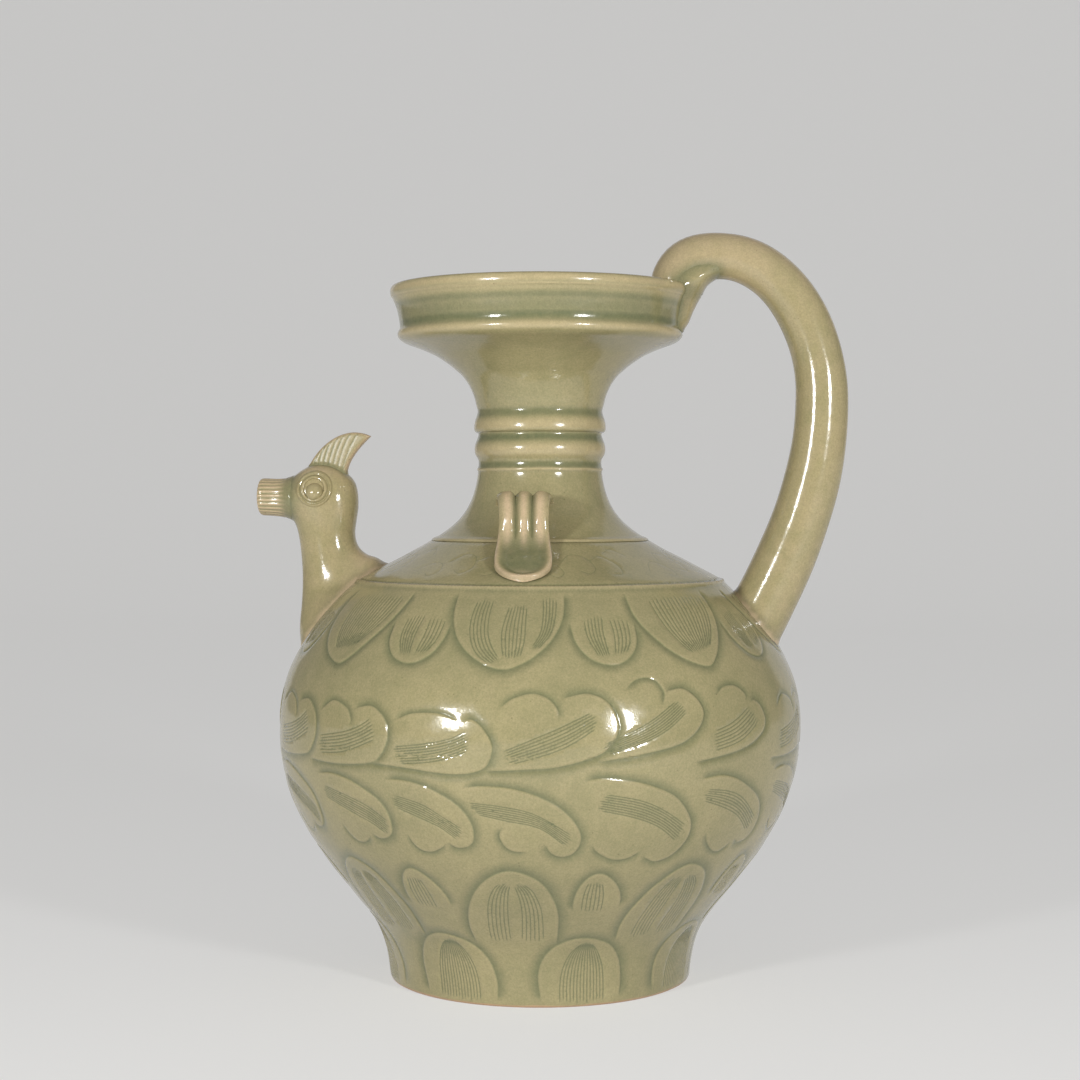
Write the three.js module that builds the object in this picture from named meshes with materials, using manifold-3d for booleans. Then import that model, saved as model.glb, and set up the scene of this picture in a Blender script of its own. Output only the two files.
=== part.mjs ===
// A celadon ewer with a chicken's head for a spout and a looped handle, as the clay pieces
// that a potter throws, rolls and cuts, and then lutes together before glazing.
// Millimetres, +Z up. The origin is on the vessel's axis, in the plane that it stands on.
// The chicken looks along -X, the handle is on the +X side and the front lug faces -Y.

import * as THREE from 'three';
import { mergeVertices } from 'three/addons/utils/BufferGeometryUtils.js';
import Module from 'manifold-3d';

const wasm = await Module();
wasm.setup();

// The clay: one wall all over, a thicker base, and the slip left where two pieces meet
const wall = 5.2;
const baseThickness = 8;
const slipGap = 0.3;
const weldDistance = 0.0001;
const leastStep = 0.4;

// The thrown body: foot, waist above the foot, belly, shoulder ring and the neck's seat
const footRadius = 66.6;
const footRound = 1.2;
const waistRadius = 83.1;
const waistHeight = 38.8;
const bellyRadius = 115.3;
const bellyHeight = 110;
const ringShare = 0.7034;
const ringRadius = ringShare * bellyRadius;
const ringAboveBelly = 65.6;
const ringHeight = bellyHeight + ringAboveBelly;
const ringRise = 0.7;
const ringWidth = 1.8;
const seatRadius = 48.2;
const seatAboveRing = 17.6;
const seatHeight = ringHeight + seatAboveRing;
const footCurveShares = [[0.13, 0.57], [0.5, 0.73]];
const waistCurveShares = [[0.31, 0.18], [1, 0.51]];
const bellyCurveShares = [[0, 0.16], [-0.05, 0.515]];
const shoulderCurveShares = [[0.23, 0.27], [0.75, 0.72]];

// The neck: a flared root, a plain shaft with two raised ribs, and the spread under the dish
const neckRadius = 27.7;
const flareRise = 31.1;
const shaftLength = 28.9;
const shaftLow = seatHeight + flareRise;
const shaftHigh = shaftLow + shaftLength;
const ribRise = 1;
const ribInsetShare = 0.15;
const lowerRibShare = 0.345;
const ribGapShare = 0.075;
const upperRibShare = 0.31;
const neckFlareShares = [[0.49, 0.21], [0.89, 0.4]];

// The dish mouth: its underside, the ridge round it, an upright wall and a rolled lip
const dishRadius = 62.6;
const underInset = 6.6;
const underRadius = dishRadius - underInset;
const underRise = 26;
const underHeight = shaftHigh + underRise;
const ridgeRise = 5.2;
const ridgeHeight = underHeight + ridgeRise;
const dishWallHeight = 8.6;
const lipLow = ridgeHeight + dishWallHeight;
const lipSpread = 3.8;
const lipRadius = dishRadius + lipSpread;
const lipRise = 12.7;
const lipHeight = lipLow + lipRise;
const lipRound = 2;
const lipThickness = 6.4;
const dishSeamShare = 0.57;
const dishSeamHeight = shaftHigh + dishSeamShare * underRise;
const underCurveShares = [[0.07, 0.5], [0.46, 0.78]];
const lipCurveShares = [[0, 0.45], [0.9, 0.3]];

// The handle: one rolled coil from the shoulder up and over, whose round end bites the lip
const biteInset = 16.2;
const biteReach = lipRadius - biteInset;
const biteRise = 5.7;
const biteHeight = lipHeight + biteRise;
const crownSpread = 12.6;
const crownReach = lipRadius + crownSpread;
const crownRise = 13;
const crownHeight = lipHeight + crownRise;
const handleSpread = 57.9;
const handleReach = lipRadius + handleSpread;
const handleMidDrop = 49.3;
const handleMidHeight = lipHeight - handleMidDrop;
const rootSpread = 8.9;
const rootReach = ringRadius + rootSpread;
const rootDrop = 26.6;
const rootHeight = ringHeight - rootDrop;
const biteRadius = 9.9;
const handleMidRadius = 11.4;
const rootRadius = 14;
const biteCurveShares = [[0.25, 0.8], [0.6, 1]];
const crownCurveShares = [[0.6, 0], [1, 0.53]];
const handleCurveShares = [[0, 0.21], [0.1, 0.5]];
const biteDomeShare = 0.055;
const biteStationShares = [0, 0.004, 0.014, 0.03, 0.055];

// The jaw: a wedge of clay that props the handle's end against the dish from outside
const jawWidth = 19;
const jawSpread = 12.1;
const jawTopReach = lipRadius + jawSpread;
const jawHeight = 22;
const jawRound = 3;
const jawCurveShares = [[0.35, 0.45], [0.95, 0.55]];

// The lugs: a ribbed strap from the neck down to a spoon-shaped tab on the shoulder
const lugThickness = 5.4;
const lugBite = 0.7;
const lugRootReach = neckRadius - lugBite;
const lugRootRise = 12.3;
const lugRootHeight = seatHeight + lugRootRise;
const lugTopSpread = 14.3;
const lugTopReach = neckRadius + lugTopSpread;
const lugTopRise = 18.4;
const lugTopHeight = seatHeight + lugTopRise;
const lugKneeSpread = 2.8;
const lugKneeReach = seatRadius + lugKneeSpread;
const lugKneeRise = 6.3;
const lugKneeHeight = seatHeight + lugKneeRise;
const lugTabInset = 1.7;
const lugTabReach = ringRadius - lugTabInset;
const lugTabRise = 4.2;
const lugTabHeight = ringHeight + lugTabRise;
const lugTopWidth = 23.4;
const lugWaistWidth = 19.9;
const lugTabWidth = 23.6;
const lugGroove = 1.5;
const lugDish = 1.7;
const lugWidthShares = { root: 0, waist: 0.45, tab: 0.72, end: 1 };
const lugRootShares = [[0.2, 0.75], [0.6, 1]];
const lugTopShares = [[0.6, 0], [1, 0.45]];
const lugTabShares = [[0, 0.37], [0.3, 0.6]];

// The chicken's neck and head: a hollow form that bends forward from the shoulder
const chickenDepth = 48;
const chickenInset = 12.6;
const beakRootReach = ringRadius - chickenInset + chickenDepth;
const chickenDrop = 32.1;
const chickenLow = ringHeight - chickenDrop;
const chickenRise = 84.5;
const chickenHigh = chickenLow + chickenRise;
const headWidth = 25.6;
const headWall = 4.8;
const pourHoleRadius = 8;
const pourHoleSetback = 23.5;
const pourHoleReach = beakRootReach - pourHoleSetback;

// The beak: a short fluted tube, cut square
const beakDrop = 6.9;
const beakRootDepth = 19.1;
const beakRootHigh = chickenHigh - beakDrop;
const beakRootLow = beakRootHigh - beakRootDepth;
const beakLength = 12.5;
const beakTipRise = 0.9;
const beakTipRadius = 8.4;
const beakBoreRadius = 4.8;
const beakEdge = 1.4;
const beakFlute = 0.55;
const beakFlutes = 12;

// The comb: a sickle that leans back, with grooves fanned over both faces
const combSetback = 11.9;
const combFrontReach = beakRootReach - combSetback;
const combFrontDrop = 1.5;
const combFrontHeight = chickenHigh - combFrontDrop;
const combFoot = 17;
const combBackReach = combFrontReach - combFoot;
const combBackDrop = 6.6;
const combBackHeight = chickenHigh - combBackDrop;
const combLength = 28;
const combTipReach = combFrontReach - combLength;
const combTipRise = 11.6;
const combTipHeight = chickenHigh + combTipRise;
const combCrestRise = 17.2;
const combCrestHeight = chickenHigh + combCrestRise;
const combThickness = 5.6;
const combBevel = 1.3;
const combGrooves = 6;
const combGrooveRadius = 0.55;

// The eyes: a domed pellet inside a raised ring, on both cheeks
const eyeSetback = 15.9;
const eyeReach = beakRootReach - eyeSetback;
const eyeDrop = 13;
const eyeHeight = chickenHigh - eyeDrop;
const pelletRadius = 4.1;
const pelletRise = 1.3;
const eyeRingRadius = 6.3;
const eyeRingWidth = 1.9;
const eyeRingRise = 0.9;
const eyeDepth = 6;

// How finely round forms are cut into flats
const roundSides = 44;
const coilSides = 20;
const coilSteps = 21;
const headSides = 20;
const smallSides = 20;

const point = (x, y) => new THREE.Vector2(x, y);
const mix = THREE.MathUtils.lerp;

// A smooth stretch between two points. The shares place its two control points, each across
// the stretch and then up it.
function bend(start, end, shares, steps) {
  const [first, second] = shares.map(([across, up]) => (
    point(mix(start.x, end.x, across), mix(start.y, end.y, up))));
  return new THREE.CubicBezierCurve(start, first, second, end).getPoints(steps);
}

// Joins stretches that share their end points into one line of points.
function join(...stretches) {
  return stretches.flatMap((stretch, index) => (index === 0 ? stretch : stretch.slice(1)));
}

// Moves a rising line of points sideways, into the clay for a positive depth.
function inset(line, depth) {
  return line.map((place, index) => {
    const before = line[Math.max(index - 1, 0)];
    const after = line[Math.min(index + 1, line.length - 1)];
    const along = after.clone().sub(before).normalize();
    return point(place.x - depth * along.y, place.y + depth * along.x);
  });
}

// The part of a rising line between two heights, with its ends exactly on them.
function slice(line, low, high) {
  const radiusAt = (height) => {
    const above = line.findIndex((place, index) => index > 0 && place.y >= height);
    const [from, to] = [line[above - 1], line[above]];
    return mix(from.x, to.x, (height - from.y) / (to.y - from.y));
  };
  const inside = line.filter((place) => place.y > low + leastStep && place.y < high - leastStep);
  return [point(radiusAt(low), low), ...inside, point(radiusAt(high), high)];
}

// A line with every second point left out between its ends, for the plain inside.
function thinned(line) {
  return line.filter((_, index) => index % 2 === 0 || index === line.length - 1);
}

// A closed triangle mesh as a solid that can be cut and joined.
function solid(geometry) {
  const bare = geometry.clone();
  bare.deleteAttribute('normal');
  bare.deleteAttribute('uv');
  const merged = mergeVertices(bare, weldDistance);
  const corners = merged.index.array;
  const faces = [];
  for (let start = 0; start < corners.length; start += 3) {
    const [a, b, c] = corners.slice(start, start + 3);
    if (a !== b && b !== c && c !== a) faces.push(a, b, c);
  }
  const vertProperties = new Float32Array(merged.attributes.position.array);
  const triVerts = new Uint32Array(faces);
  return new wasm.Manifold(new wasm.Mesh({ numProp: 3, vertProperties, triVerts }));
}

// A line of radius and height points, turned round the vessel's axis.
function revolve(line, sides = roundSides) {
  const geometry = new THREE.LatheGeometry(line, sides);
  geometry.rotateX(Math.PI / 2);
  return solid(geometry);
}

// A skin over rings that have the same number of points, closed by a fan at each end.
function loft(rings) {
  const count = rings[0].length;
  const middle = (ring) => ring
    .reduce((sum, place) => sum.add(place), new THREE.Vector3()).divideScalar(count);
  const ends = [middle(rings[0]), middle(rings.at(-1))];
  const places = [...rings.flat(), ...ends];
  const last = (rings.length - 1) * count;
  const [startFan, endFan] = [rings.length * count, rings.length * count + 1];
  const faces = [];
  for (let side = 0; side < count; side += 1) {
    const next = (side + 1) % count;
    for (let row = 0; row < last; row += count) {
      faces.push(row + side, row + next, row + count + next);
      faces.push(row + side, row + count + next, row + count + side);
    }
    faces.push(startFan, next, side);
    faces.push(endFan, last + side, last + next);
  }
  const geometry = new THREE.BufferGeometry().setFromPoints(places);
  geometry.setIndex(faces);
  return solid(geometry);
}

// The vessel's outer line from the foot to the neck's seat
function bodyLine() {
  const foot = point(footRadius, footRound);
  const waist = point(waistRadius, waistHeight);
  const belly = point(bellyRadius, bellyHeight);
  const ring = point(ringRadius, ringHeight);
  const seat = point(seatRadius, seatHeight);
  return join(
    [point(footRadius - footRound, 0), foot],
    bend(foot, waist, footCurveShares, 5),
    bend(waist, belly, waistCurveShares, 6),
    bend(belly, ring, bellyCurveShares, 6),
    bend(ring, seat, shoulderCurveShares, 2),
  );
}

// The raised line round the shoulder, as a small round bead on the body's line
function withShoulderRing(line) {
  const at = line.findIndex((place) => place.y >= ringHeight);
  const along = line[at + 1].clone().sub(line[at - 1]).normalize();
  const out = point(along.y, -along.x);
  const bead = [-0.5, 0, 0.5].map((share) => line[at].clone()
    .addScaledVector(along, share * ringWidth)
    .addScaledVector(out, share === 0 ? ringRise : 0));
  return [...line.slice(0, at), ...bead, ...line.slice(at + 1)];
}

function neckFlare() {
  const seat = point(seatRadius, seatHeight);
  return bend(seat, point(neckRadius, shaftLow), neckFlareShares, 5);
}

// One round rib on the shaft, from one share of the shaft's length to another
function rib(lowShare, highShare) {
  const low = mix(shaftLow, shaftHigh, lowShare);
  const high = mix(shaftLow, shaftHigh, highShare);
  const crest = point(neckRadius + 2 * ribRise, (low + high) / 2);
  return new THREE.QuadraticBezierCurve(point(neckRadius, low), crest, point(neckRadius, high))
    .getPoints(4);
}

function dishUnderside() {
  return bend(point(neckRadius, shaftHigh), point(underRadius, underHeight), underCurveShares, 7);
}

// The neck's outer line with its ribs, on up to the dish's ridge
function neckLine() {
  const lowerEnd = ribInsetShare + lowerRibShare;
  const upperStart = lowerEnd + ribGapShare;
  return [
    ...neckFlare(),
    ...rib(ribInsetShare, lowerEnd),
    ...rib(upperStart, upperStart + upperRibShare),
    ...dishUnderside(),
  ];
}

// The line inside the vessel, one wall in from a body and neck without their raised lines
function innerLine() {
  return inset(join(bodyLine(), neckFlare(), [neckFlare().at(-1), dishUnderside()[0]],
    dishUnderside()), wall);
}

// The dish's outside, from its ridge up to the top of the lip
function dishOutside() {
  const ridge = point(dishRadius, ridgeHeight);
  const wallTop = point(dishRadius, lipLow);
  const lipEdge = point(lipRadius, lipHeight - lipRound);
  const ridgeCorner = point(dishRadius, mix(underHeight, ridgeHeight, 0.4));
  return join(
    new THREE.QuadraticBezierCurve(point(underRadius, underHeight), ridgeCorner, ridge).getPoints(3),
    [ridge, point(dishRadius, ridgeHeight + ringWidth), wallTop],
    bend(wallTop, lipEdge, lipCurveShares, 3),
    bend(lipEdge, point(lipRadius - lipRound, lipHeight), [[0, 0.6], [0.4, 1]], 2),
  );
}

// The dish's inside, from the top of the lip down to the edge of its floor
function dishInside() {
  const lipInside = lipRadius - lipThickness;
  const lipTop = point(lipInside + lipRound, lipHeight);
  const lipEdge = point(lipInside, lipHeight - lipRound);
  const wallTop = point(dishRadius - wall, lipLow);
  const floorEdge = innerLine().at(-1);
  return join(
    bend(lipTop, lipEdge, [[0.6, 0], [1, 0.4]], 2),
    [lipEdge, wallTop],
    new THREE.QuadraticBezierCurve(wallTop, point(wallTop.x, floorEdge.y), floorEdge).getPoints(3),
  );
}

// Everything inside the vessel's outer line, grown by the slip gap: what applied pieces are
// trimmed to
function vesselEnvelope() {
  const outer = join(withShoulderRing(bodyLine()), neckLine(), dishOutside());
  const grown = inset(outer, -slipGap);
  return revolve([point(0, grown[0].y), ...grown, point(0, grown.at(-1).y)]);
}

function lowerBody() {
  const outer = slice(bodyLine(), 0, bellyHeight);
  const inner = thinned(slice(innerLine(), baseThickness, bellyHeight)).reverse();
  return revolve([point(0, 0), ...outer, ...inner, point(0, baseThickness)]);
}

function upperBody() {
  const outer = slice(withShoulderRing(bodyLine()), bellyHeight, seatHeight);
  const inner = thinned(slice(innerLine(), bellyHeight, seatHeight)).reverse();
  return revolve([...outer, ...inner, outer[0]]).subtract(pourHole());
}

// The hole that the potter cuts straight down through the shoulder inside the chicken's neck
function pourHole() {
  const depth = ringHeight - bellyHeight;
  const drill = new THREE.CylinderGeometry(pourHoleRadius, pourHoleRadius, depth, smallSides);
  drill.rotateX(Math.PI / 2);
  drill.translate(-pourHoleReach, 0, ringHeight - depth / 4);
  return solid(drill);
}

function neck() {
  const outer = slice(neckLine(), seatHeight, dishSeamHeight);
  const inner = thinned(slice(innerLine(), seatHeight, dishSeamHeight)).reverse();
  return revolve([...outer, ...inner, outer[0]]);
}

function dishMouth() {
  const outer = slice(dishUnderside(), dishSeamHeight, underHeight);
  const inner = slice(innerLine(), dishSeamHeight, innerLine().at(-1).y).reverse();
  return revolve([...join(outer, dishOutside()), ...join(dishInside(), inner), outer[0]]);
}

// The handle's middle line in the XZ plane, from the bite on the lip to inside the shoulder
function handleLine() {
  const bite = point(biteReach, biteHeight);
  const crown = point(crownReach, crownHeight);
  const outermost = point(handleReach, handleMidHeight);
  return join(
    bend(bite, crown, biteCurveShares, 9),
    bend(crown, outermost, crownCurveShares, 9),
    bend(outermost, point(rootReach, rootHeight), handleCurveShares, 9),
  );
}

// The coil's radius at a share of its length: a round end, then an even swell to the root
function handleRadius(share) {
  const fromEnd = Math.min(share / biteDomeShare, 1);
  const dome = Math.sqrt(1 - (1 - fromEnd) ** 2);
  const swell = share < 0.5
    ? mix(biteRadius, handleMidRadius, THREE.MathUtils.smoothstep(share, 0.15, 0.5))
    : mix(handleMidRadius, rootRadius, share * 2 - 1);
  return swell * Math.max(dome, 0.3);
}

function handleCoil(extraRadius) {
  const path = new THREE.SplineCurve(handleLine());
  const body = Array.from({ length: coilSteps }, (_, step) => (
    mix(biteDomeShare, 1, (step + 1) / coilSteps)));
  const rings = [...biteStationShares, ...body].map((share) => {
    const centre = path.getPointAt(share);
    const along = path.getTangentAt(share);
    const radius = handleRadius(share) + extraRadius;
    return Array.from({ length: coilSides }, (_, side) => {
      const turn = (side / coilSides) * 2 * Math.PI;
      const across = radius * Math.cos(turn);
      return new THREE.Vector3(centre.x + across * along.y, radius * Math.sin(turn),
        centre.y - across * along.x);
    });
  });
  return loft(rings);
}

const handle = () => handleCoil(0).subtract(vesselEnvelope());

// A side outline in the XZ plane, given as reach and height, drawn out evenly along Y.
function plate(line, width, bevel) {
  const geometry = new THREE.ExtrudeGeometry(new THREE.Shape(line), {
    depth: width - 2 * bevel,
    bevelThickness: bevel,
    bevelSize: bevel,
    bevelOffset: -bevel,
    bevelSegments: 2,
    bevelEnabled: true,
  });
  geometry.translate(0, 0, bevel - width / 2);
  geometry.rotateX(Math.PI / 2);
  return solid(geometry);
}

function handleJaw() {
  const top = point(jawTopReach, crownHeight - biteRadius);
  const tip = point(dishRadius, lipHeight - jawHeight);
  const inside = point(dishRadius - 3 * jawRound, tip.y - jawRound);
  const edge = bend(top, tip, jawCurveShares, 6);
  const line = [...edge, inside, point(inside.x, crownHeight), point(top.x, crownHeight)];
  return plate(line, jawWidth, jawRound)
    .subtract(vesselEnvelope())
    .subtract(handleCoil(slipGap));
}

const lugStationShares = [0, 0.1, 0.18, 0.26, 0.34, 0.42, 0.5, 0.57, 0.64, 0.72, 0.8, 0.88, 0.95, 1];
const lugSpoonShares = [0.5, 0.68];

// The strap's cross-section at one station: three round ridges that sink into a dished tab
function strapSection(halfWidth, thickness, spoon) {
  const outside = Array.from({ length: 15 }, (_, step) => {
    const across = step / 7 - 1;
    const ridges = lugGroove * (1 - Math.abs(Math.cos(1.5 * Math.PI * across)));
    const dish = lugDish * (1 - across ** 4);
    const drop = mix(ridges, across ** 2 > 0.99 ? lugGroove : dish, spoon);
    return point(across * halfWidth, thickness / 2 - drop);
  });
  const inside = [0.7, 0, -0.7].map((across) => point(across * halfWidth, -thickness / 2));
  return [...outside, ...inside].reverse();
}

function strapWidth(share) {
  const { root, waist, tab, end } = lugWidthShares;
  const smooth = THREE.MathUtils.smoothstep;
  if (share < waist) return mix(lugTopWidth, lugWaistWidth, smooth(share, root, waist));
  if (share < tab) return mix(lugWaistWidth, lugTabWidth, smooth(share, waist, tab));
  const past = (share - tab) / (end - tab);
  return lugTabWidth * Math.sqrt(1 - 0.93 * past ** 2);
}

function lug() {
  const root = point(lugRootReach, lugRootHeight);
  const top = point(lugTopReach, lugTopHeight);
  const knee = point(lugKneeReach, lugKneeHeight);
  const tab = point(lugTabReach, lugTabHeight);
  const path = new THREE.SplineCurve(join(
    bend(root, top, lugRootShares, 5),
    bend(top, knee, lugTopShares, 5),
    bend(knee, tab, lugTabShares, 8),
  ));
  const rings = lugStationShares.map((share) => {
    const centre = path.getPointAt(share);
    const along = path.getTangentAt(share);
    const spoon = THREE.MathUtils.smoothstep(share, ...lugSpoonShares);
    return strapSection(strapWidth(share) / 2, lugThickness, spoon).map((place) => (
      new THREE.Vector3(place.x, -centre.x + place.y * along.y, centre.y + place.y * along.x)));
  });
  return loft(rings).subtract(vesselEnvelope());
}

// The chicken in side view, as lines across it from throat to nape, from the shoulder up and
// round to the beak. Each row has the throat's place, the nape's place and the width there,
// as shares of the depth, the height and the head's width.
const chickenShares = [
  [0.18, -0.07, 1.14, 0.4, 1.5],
  [0.14, 0.1, 0.93, 0.485, 1.2],
  [0.16, 0.245, 0.79, 0.51, 1.02],
  [0.17, 0.39, 0.705, 0.555, 0.95],
  [0.152, 0.54, 0.676, 0.62, 0.93],
  [0.125, 0.63, 0.69, 0.69, 0.94],
  [0.09, 0.668, 0.71, 0.78, 0.97],
  [0.06, 0.677, 0.685, 0.885, 1],
  [0.04, 0.683, 0.587, 0.948, 1],
  [0.027, 0.687, 0.45, 0.985, 0.98],
  [0.017, 0.689, 0.292, 0.995, 0.94],
  [0.008, 0.691, 0.165, 0.972, 0.87],
  [0.003, 0.692, 0.08, 0.938, 0.8],
];

// The chicken's skin grown outward, or shrunk inward by the wall for a negative growth.
function chickenForm(growth, overrun) {
  const rows = chickenShares.map(([throatX, throatZ, napeX, napeZ, width]) => ({
    throat: point(throatX * chickenDepth - beakRootReach, mix(chickenLow, chickenHigh, throatZ)),
    nape: point(napeX * chickenDepth - beakRootReach, mix(chickenLow, chickenHigh, napeZ)),
    halfWidth: (width * headWidth) / 2,
  }));
  const face = (reach) => ({
    throat: point(-reach, beakRootLow),
    nape: point(-reach, beakRootHigh),
    halfWidth: (beakRootHigh - beakRootLow) / 2,
  });
  rows.push(face(beakRootReach));
  if (overrun > 0) rows.push(face(beakRootReach + overrun));
  return loft(rows.map(({ throat, nape, halfWidth }) => {
    const centre = throat.clone().add(nape).divideScalar(2);
    const up = nape.clone().sub(centre);
    up.setLength(up.length() + growth);
    return Array.from({ length: headSides }, (_, side) => {
      const turn = (side / headSides) * 2 * Math.PI;
      const rise = Math.cos(turn);
      return new THREE.Vector3(centre.x + rise * up.x, (halfWidth + growth) * Math.sin(turn),
        centre.y + rise * up.y);
    });
  }));
}

function chickenHead() {
  return chickenForm(0, 0).subtract(chickenForm(-headWall, wall)).subtract(vesselEnvelope());
}

// One outline of the beak's flutes, at a share of its length
function beakRing(share, radius) {
  const rootRadiusHere = (beakRootHigh - beakRootLow) / 2;
  const centreHeight = (beakRootHigh + beakRootLow) / 2 + share * beakTipRise;
  const count = beakFlutes * 4;
  return Array.from({ length: count }, (_, side) => {
    const turn = (side / count) * 2 * Math.PI;
    const groove = beakFlute * (1 - Math.abs(Math.cos((beakFlutes / 2) * turn)));
    const across = mix(rootRadiusHere, radius, Math.min(share * 2, 1)) - Math.min(share * 4, 1) * groove;
    return new THREE.Vector3(-beakRootReach - share * beakLength, across * Math.sin(turn),
      centreHeight + across * Math.cos(turn));
  });
}

function beak() {
  const shoulder = 1 - beakEdge / beakLength;
  const rings = [
    beakRing(0, beakTipRadius),
    beakRing(0.25, beakTipRadius),
    beakRing(0.5, beakTipRadius),
    beakRing(shoulder, beakTipRadius),
    beakRing(mix(shoulder, 1, 0.7), beakTipRadius - beakEdge * 0.3),
    beakRing(1, beakTipRadius - beakEdge),
  ];
  const bore = new THREE.CylinderGeometry(beakBoreRadius, beakBoreRadius, 2 * beakLength, smallSides);
  bore.rotateZ(Math.PI / 2);
  bore.translate(-beakRootReach - beakLength / 2, 0, (beakRootHigh + beakRootLow) / 2);
  return loft(rings).subtract(solid(bore));
}

// The comb's two edges in side view, from the head to the tip
function combEdges() {
  const front = point(-combFrontReach, combFrontHeight);
  const back = point(-combBackReach, combBackHeight);
  const tip = point(-combTipReach, combTipHeight);
  const rise = point(mix(front.x, tip.x, 0.17), mix(front.y, tip.y, 0.75));
  const brow = point(mix(front.x, tip.x, 0.6), combCrestHeight);
  const crest = new THREE.CubicBezierCurve(front, rise, brow, tip);
  const underTip = point(mix(tip.x, back.x, 0.6), mix(tip.y, back.y, 0.35));
  const aboveNape = point(back.x, mix(tip.y, back.y, 0.65));
  const hollow = new THREE.CubicBezierCurve(tip, underTip, aboveNape, back);
  return { crest, hollow };
}

// One groove over a face of the comb, from the head to the comb's front edge
function combGroove(index, face) {
  const { crest, hollow } = combEdges();
  const share = (index + 1) / (combGrooves + 1);
  const start = crest.getPoint(0).lerp(hollow.getPoint(1), share);
  const end = crest.getPoint(mix(0.22, 0.94, share));
  const lean = point(mix(start.x, end.x, 0.3), mix(start.y, end.y, 0.6));
  const level = face * (combThickness / 2);
  const path = new THREE.QuadraticBezierCurve3(new THREE.Vector3(start.x, level, start.y),
    new THREE.Vector3(lean.x, level, lean.y), new THREE.Vector3(end.x, level, end.y));
  const section = new THREE.Shape().absarc(0, 0, combGrooveRadius, 0, 2 * Math.PI);
  return solid(new THREE.ExtrudeGeometry(section, {
    steps: 4, curveSegments: 3, bevelEnabled: false, extrudePath: path,
  }));
}

function comb() {
  const { crest, hollow } = combEdges();
  const line = join(crest.getPoints(9), hollow.getPoints(6));
  let body = plate(line, combThickness, combBevel);
  for (let index = 0; index < combGrooves; index += 1) {
    body = body.subtract(combGroove(index, 1)).subtract(combGroove(index, -1));
  }
  return body.subtract(chickenForm(slipGap, wall));
}

// A small turned form on one cheek, drawn as radius and height above the cheek
function onCheek(line, side) {
  const geometry = new THREE.LatheGeometry(line, smallSides);
  if (side < 0) geometry.rotateX(Math.PI);
  geometry.translate(-eyeReach, side * (headWidth / 2), eyeHeight);
  return solid(geometry).subtract(chickenForm(slipGap, wall));
}

function eyePellet(side) {
  const edge = point(pelletRadius, 0);
  const dome = bend(edge, point(0, pelletRise), [[0, 0.7], [0.5, 1]], 4);
  return onCheek([point(0, -eyeDepth), point(pelletRadius, -eyeDepth), ...dome], side);
}

function eyeRing(side) {
  const inner = eyeRingRadius - eyeRingWidth / 2;
  const outer = eyeRingRadius + eyeRingWidth / 2;
  const crown = bend(point(outer, 0), point(inner, 0), [[0.1, 0], [0.9, 0]], 4)
    .map((place, index) => place.setY(eyeRingRise * Math.sin((index / 4) * Math.PI)));
  return onCheek([point(inner, -eyeDepth), point(outer, -eyeDepth), ...crown,
    point(inner, -eyeDepth)], side);
}

// Glazed clay in the tones that the glaze takes on each piece
function glaze(color) {
  return new THREE.MeshStandardMaterial({ color, roughness: 0.22, metalness: 0 });
}

function piece(name, form, color) {
  const { vertProperties, triVerts } = form.getMesh();
  const geometry = new THREE.BufferGeometry();
  geometry.setAttribute('position', new THREE.BufferAttribute(new Float32Array(vertProperties), 3));
  geometry.setIndex([...triVerts]);
  geometry.computeVertexNormals();
  const mesh = new THREE.Mesh(geometry, glaze(color));
  mesh.name = name;
  return mesh;
}

const olive = 0x9f9670;
const paleOlive = 0xb5a982;

const vessel = new THREE.Group();
vessel.add(
  piece('lower_body', lowerBody(), olive),
  piece('upper_body', upperBody(), olive),
  piece('neck', neck(), olive),
  piece('dish_mouth', dishMouth(), paleOlive),
);

const carrying = new THREE.Group();
const frontLug = piece('lug_front', lug(), paleOlive);
const backLug = piece('lug_back', lug(), paleOlive);
backLug.rotation.z = Math.PI;
carrying.add(
  piece('handle', handle(), paleOlive),
  piece('handle_jaw', handleJaw(), paleOlive),
  frontLug,
  backLug,
);

const spout = new THREE.Group();
spout.add(
  piece('chicken_head', chickenHead(), paleOlive),
  piece('beak', beak(), paleOlive),
  piece('comb', comb(), paleOlive),
  piece('eye_ring_front', eyeRing(-1), paleOlive),
  piece('eye_pellet_front', eyePellet(-1), paleOlive),
  piece('eye_ring_back', eyeRing(1), paleOlive),
  piece('eye_pellet_back', eyePellet(1), paleOlive),
);

const group = new THREE.Group();
group.add(vessel, carrying, spout);

export default group;
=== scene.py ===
import math
import bpy
import numpy as np
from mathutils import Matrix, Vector
from mathutils.bvhtree import BVHTree
from mathutils.geometry import delaunay_2d_cdt


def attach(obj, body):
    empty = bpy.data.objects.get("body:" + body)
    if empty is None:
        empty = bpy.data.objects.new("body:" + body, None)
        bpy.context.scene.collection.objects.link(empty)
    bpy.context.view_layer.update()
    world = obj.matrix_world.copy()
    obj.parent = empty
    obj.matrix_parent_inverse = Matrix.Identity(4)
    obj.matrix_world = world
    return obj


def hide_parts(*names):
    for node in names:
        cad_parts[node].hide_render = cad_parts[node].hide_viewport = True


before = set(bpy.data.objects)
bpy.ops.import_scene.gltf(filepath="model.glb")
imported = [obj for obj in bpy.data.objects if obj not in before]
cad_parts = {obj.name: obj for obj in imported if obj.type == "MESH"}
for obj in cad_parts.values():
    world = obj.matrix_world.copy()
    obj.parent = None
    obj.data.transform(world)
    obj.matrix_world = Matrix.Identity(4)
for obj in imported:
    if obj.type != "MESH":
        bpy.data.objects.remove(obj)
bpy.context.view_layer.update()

mm = 0.001


# small helpers for working at the bench

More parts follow.
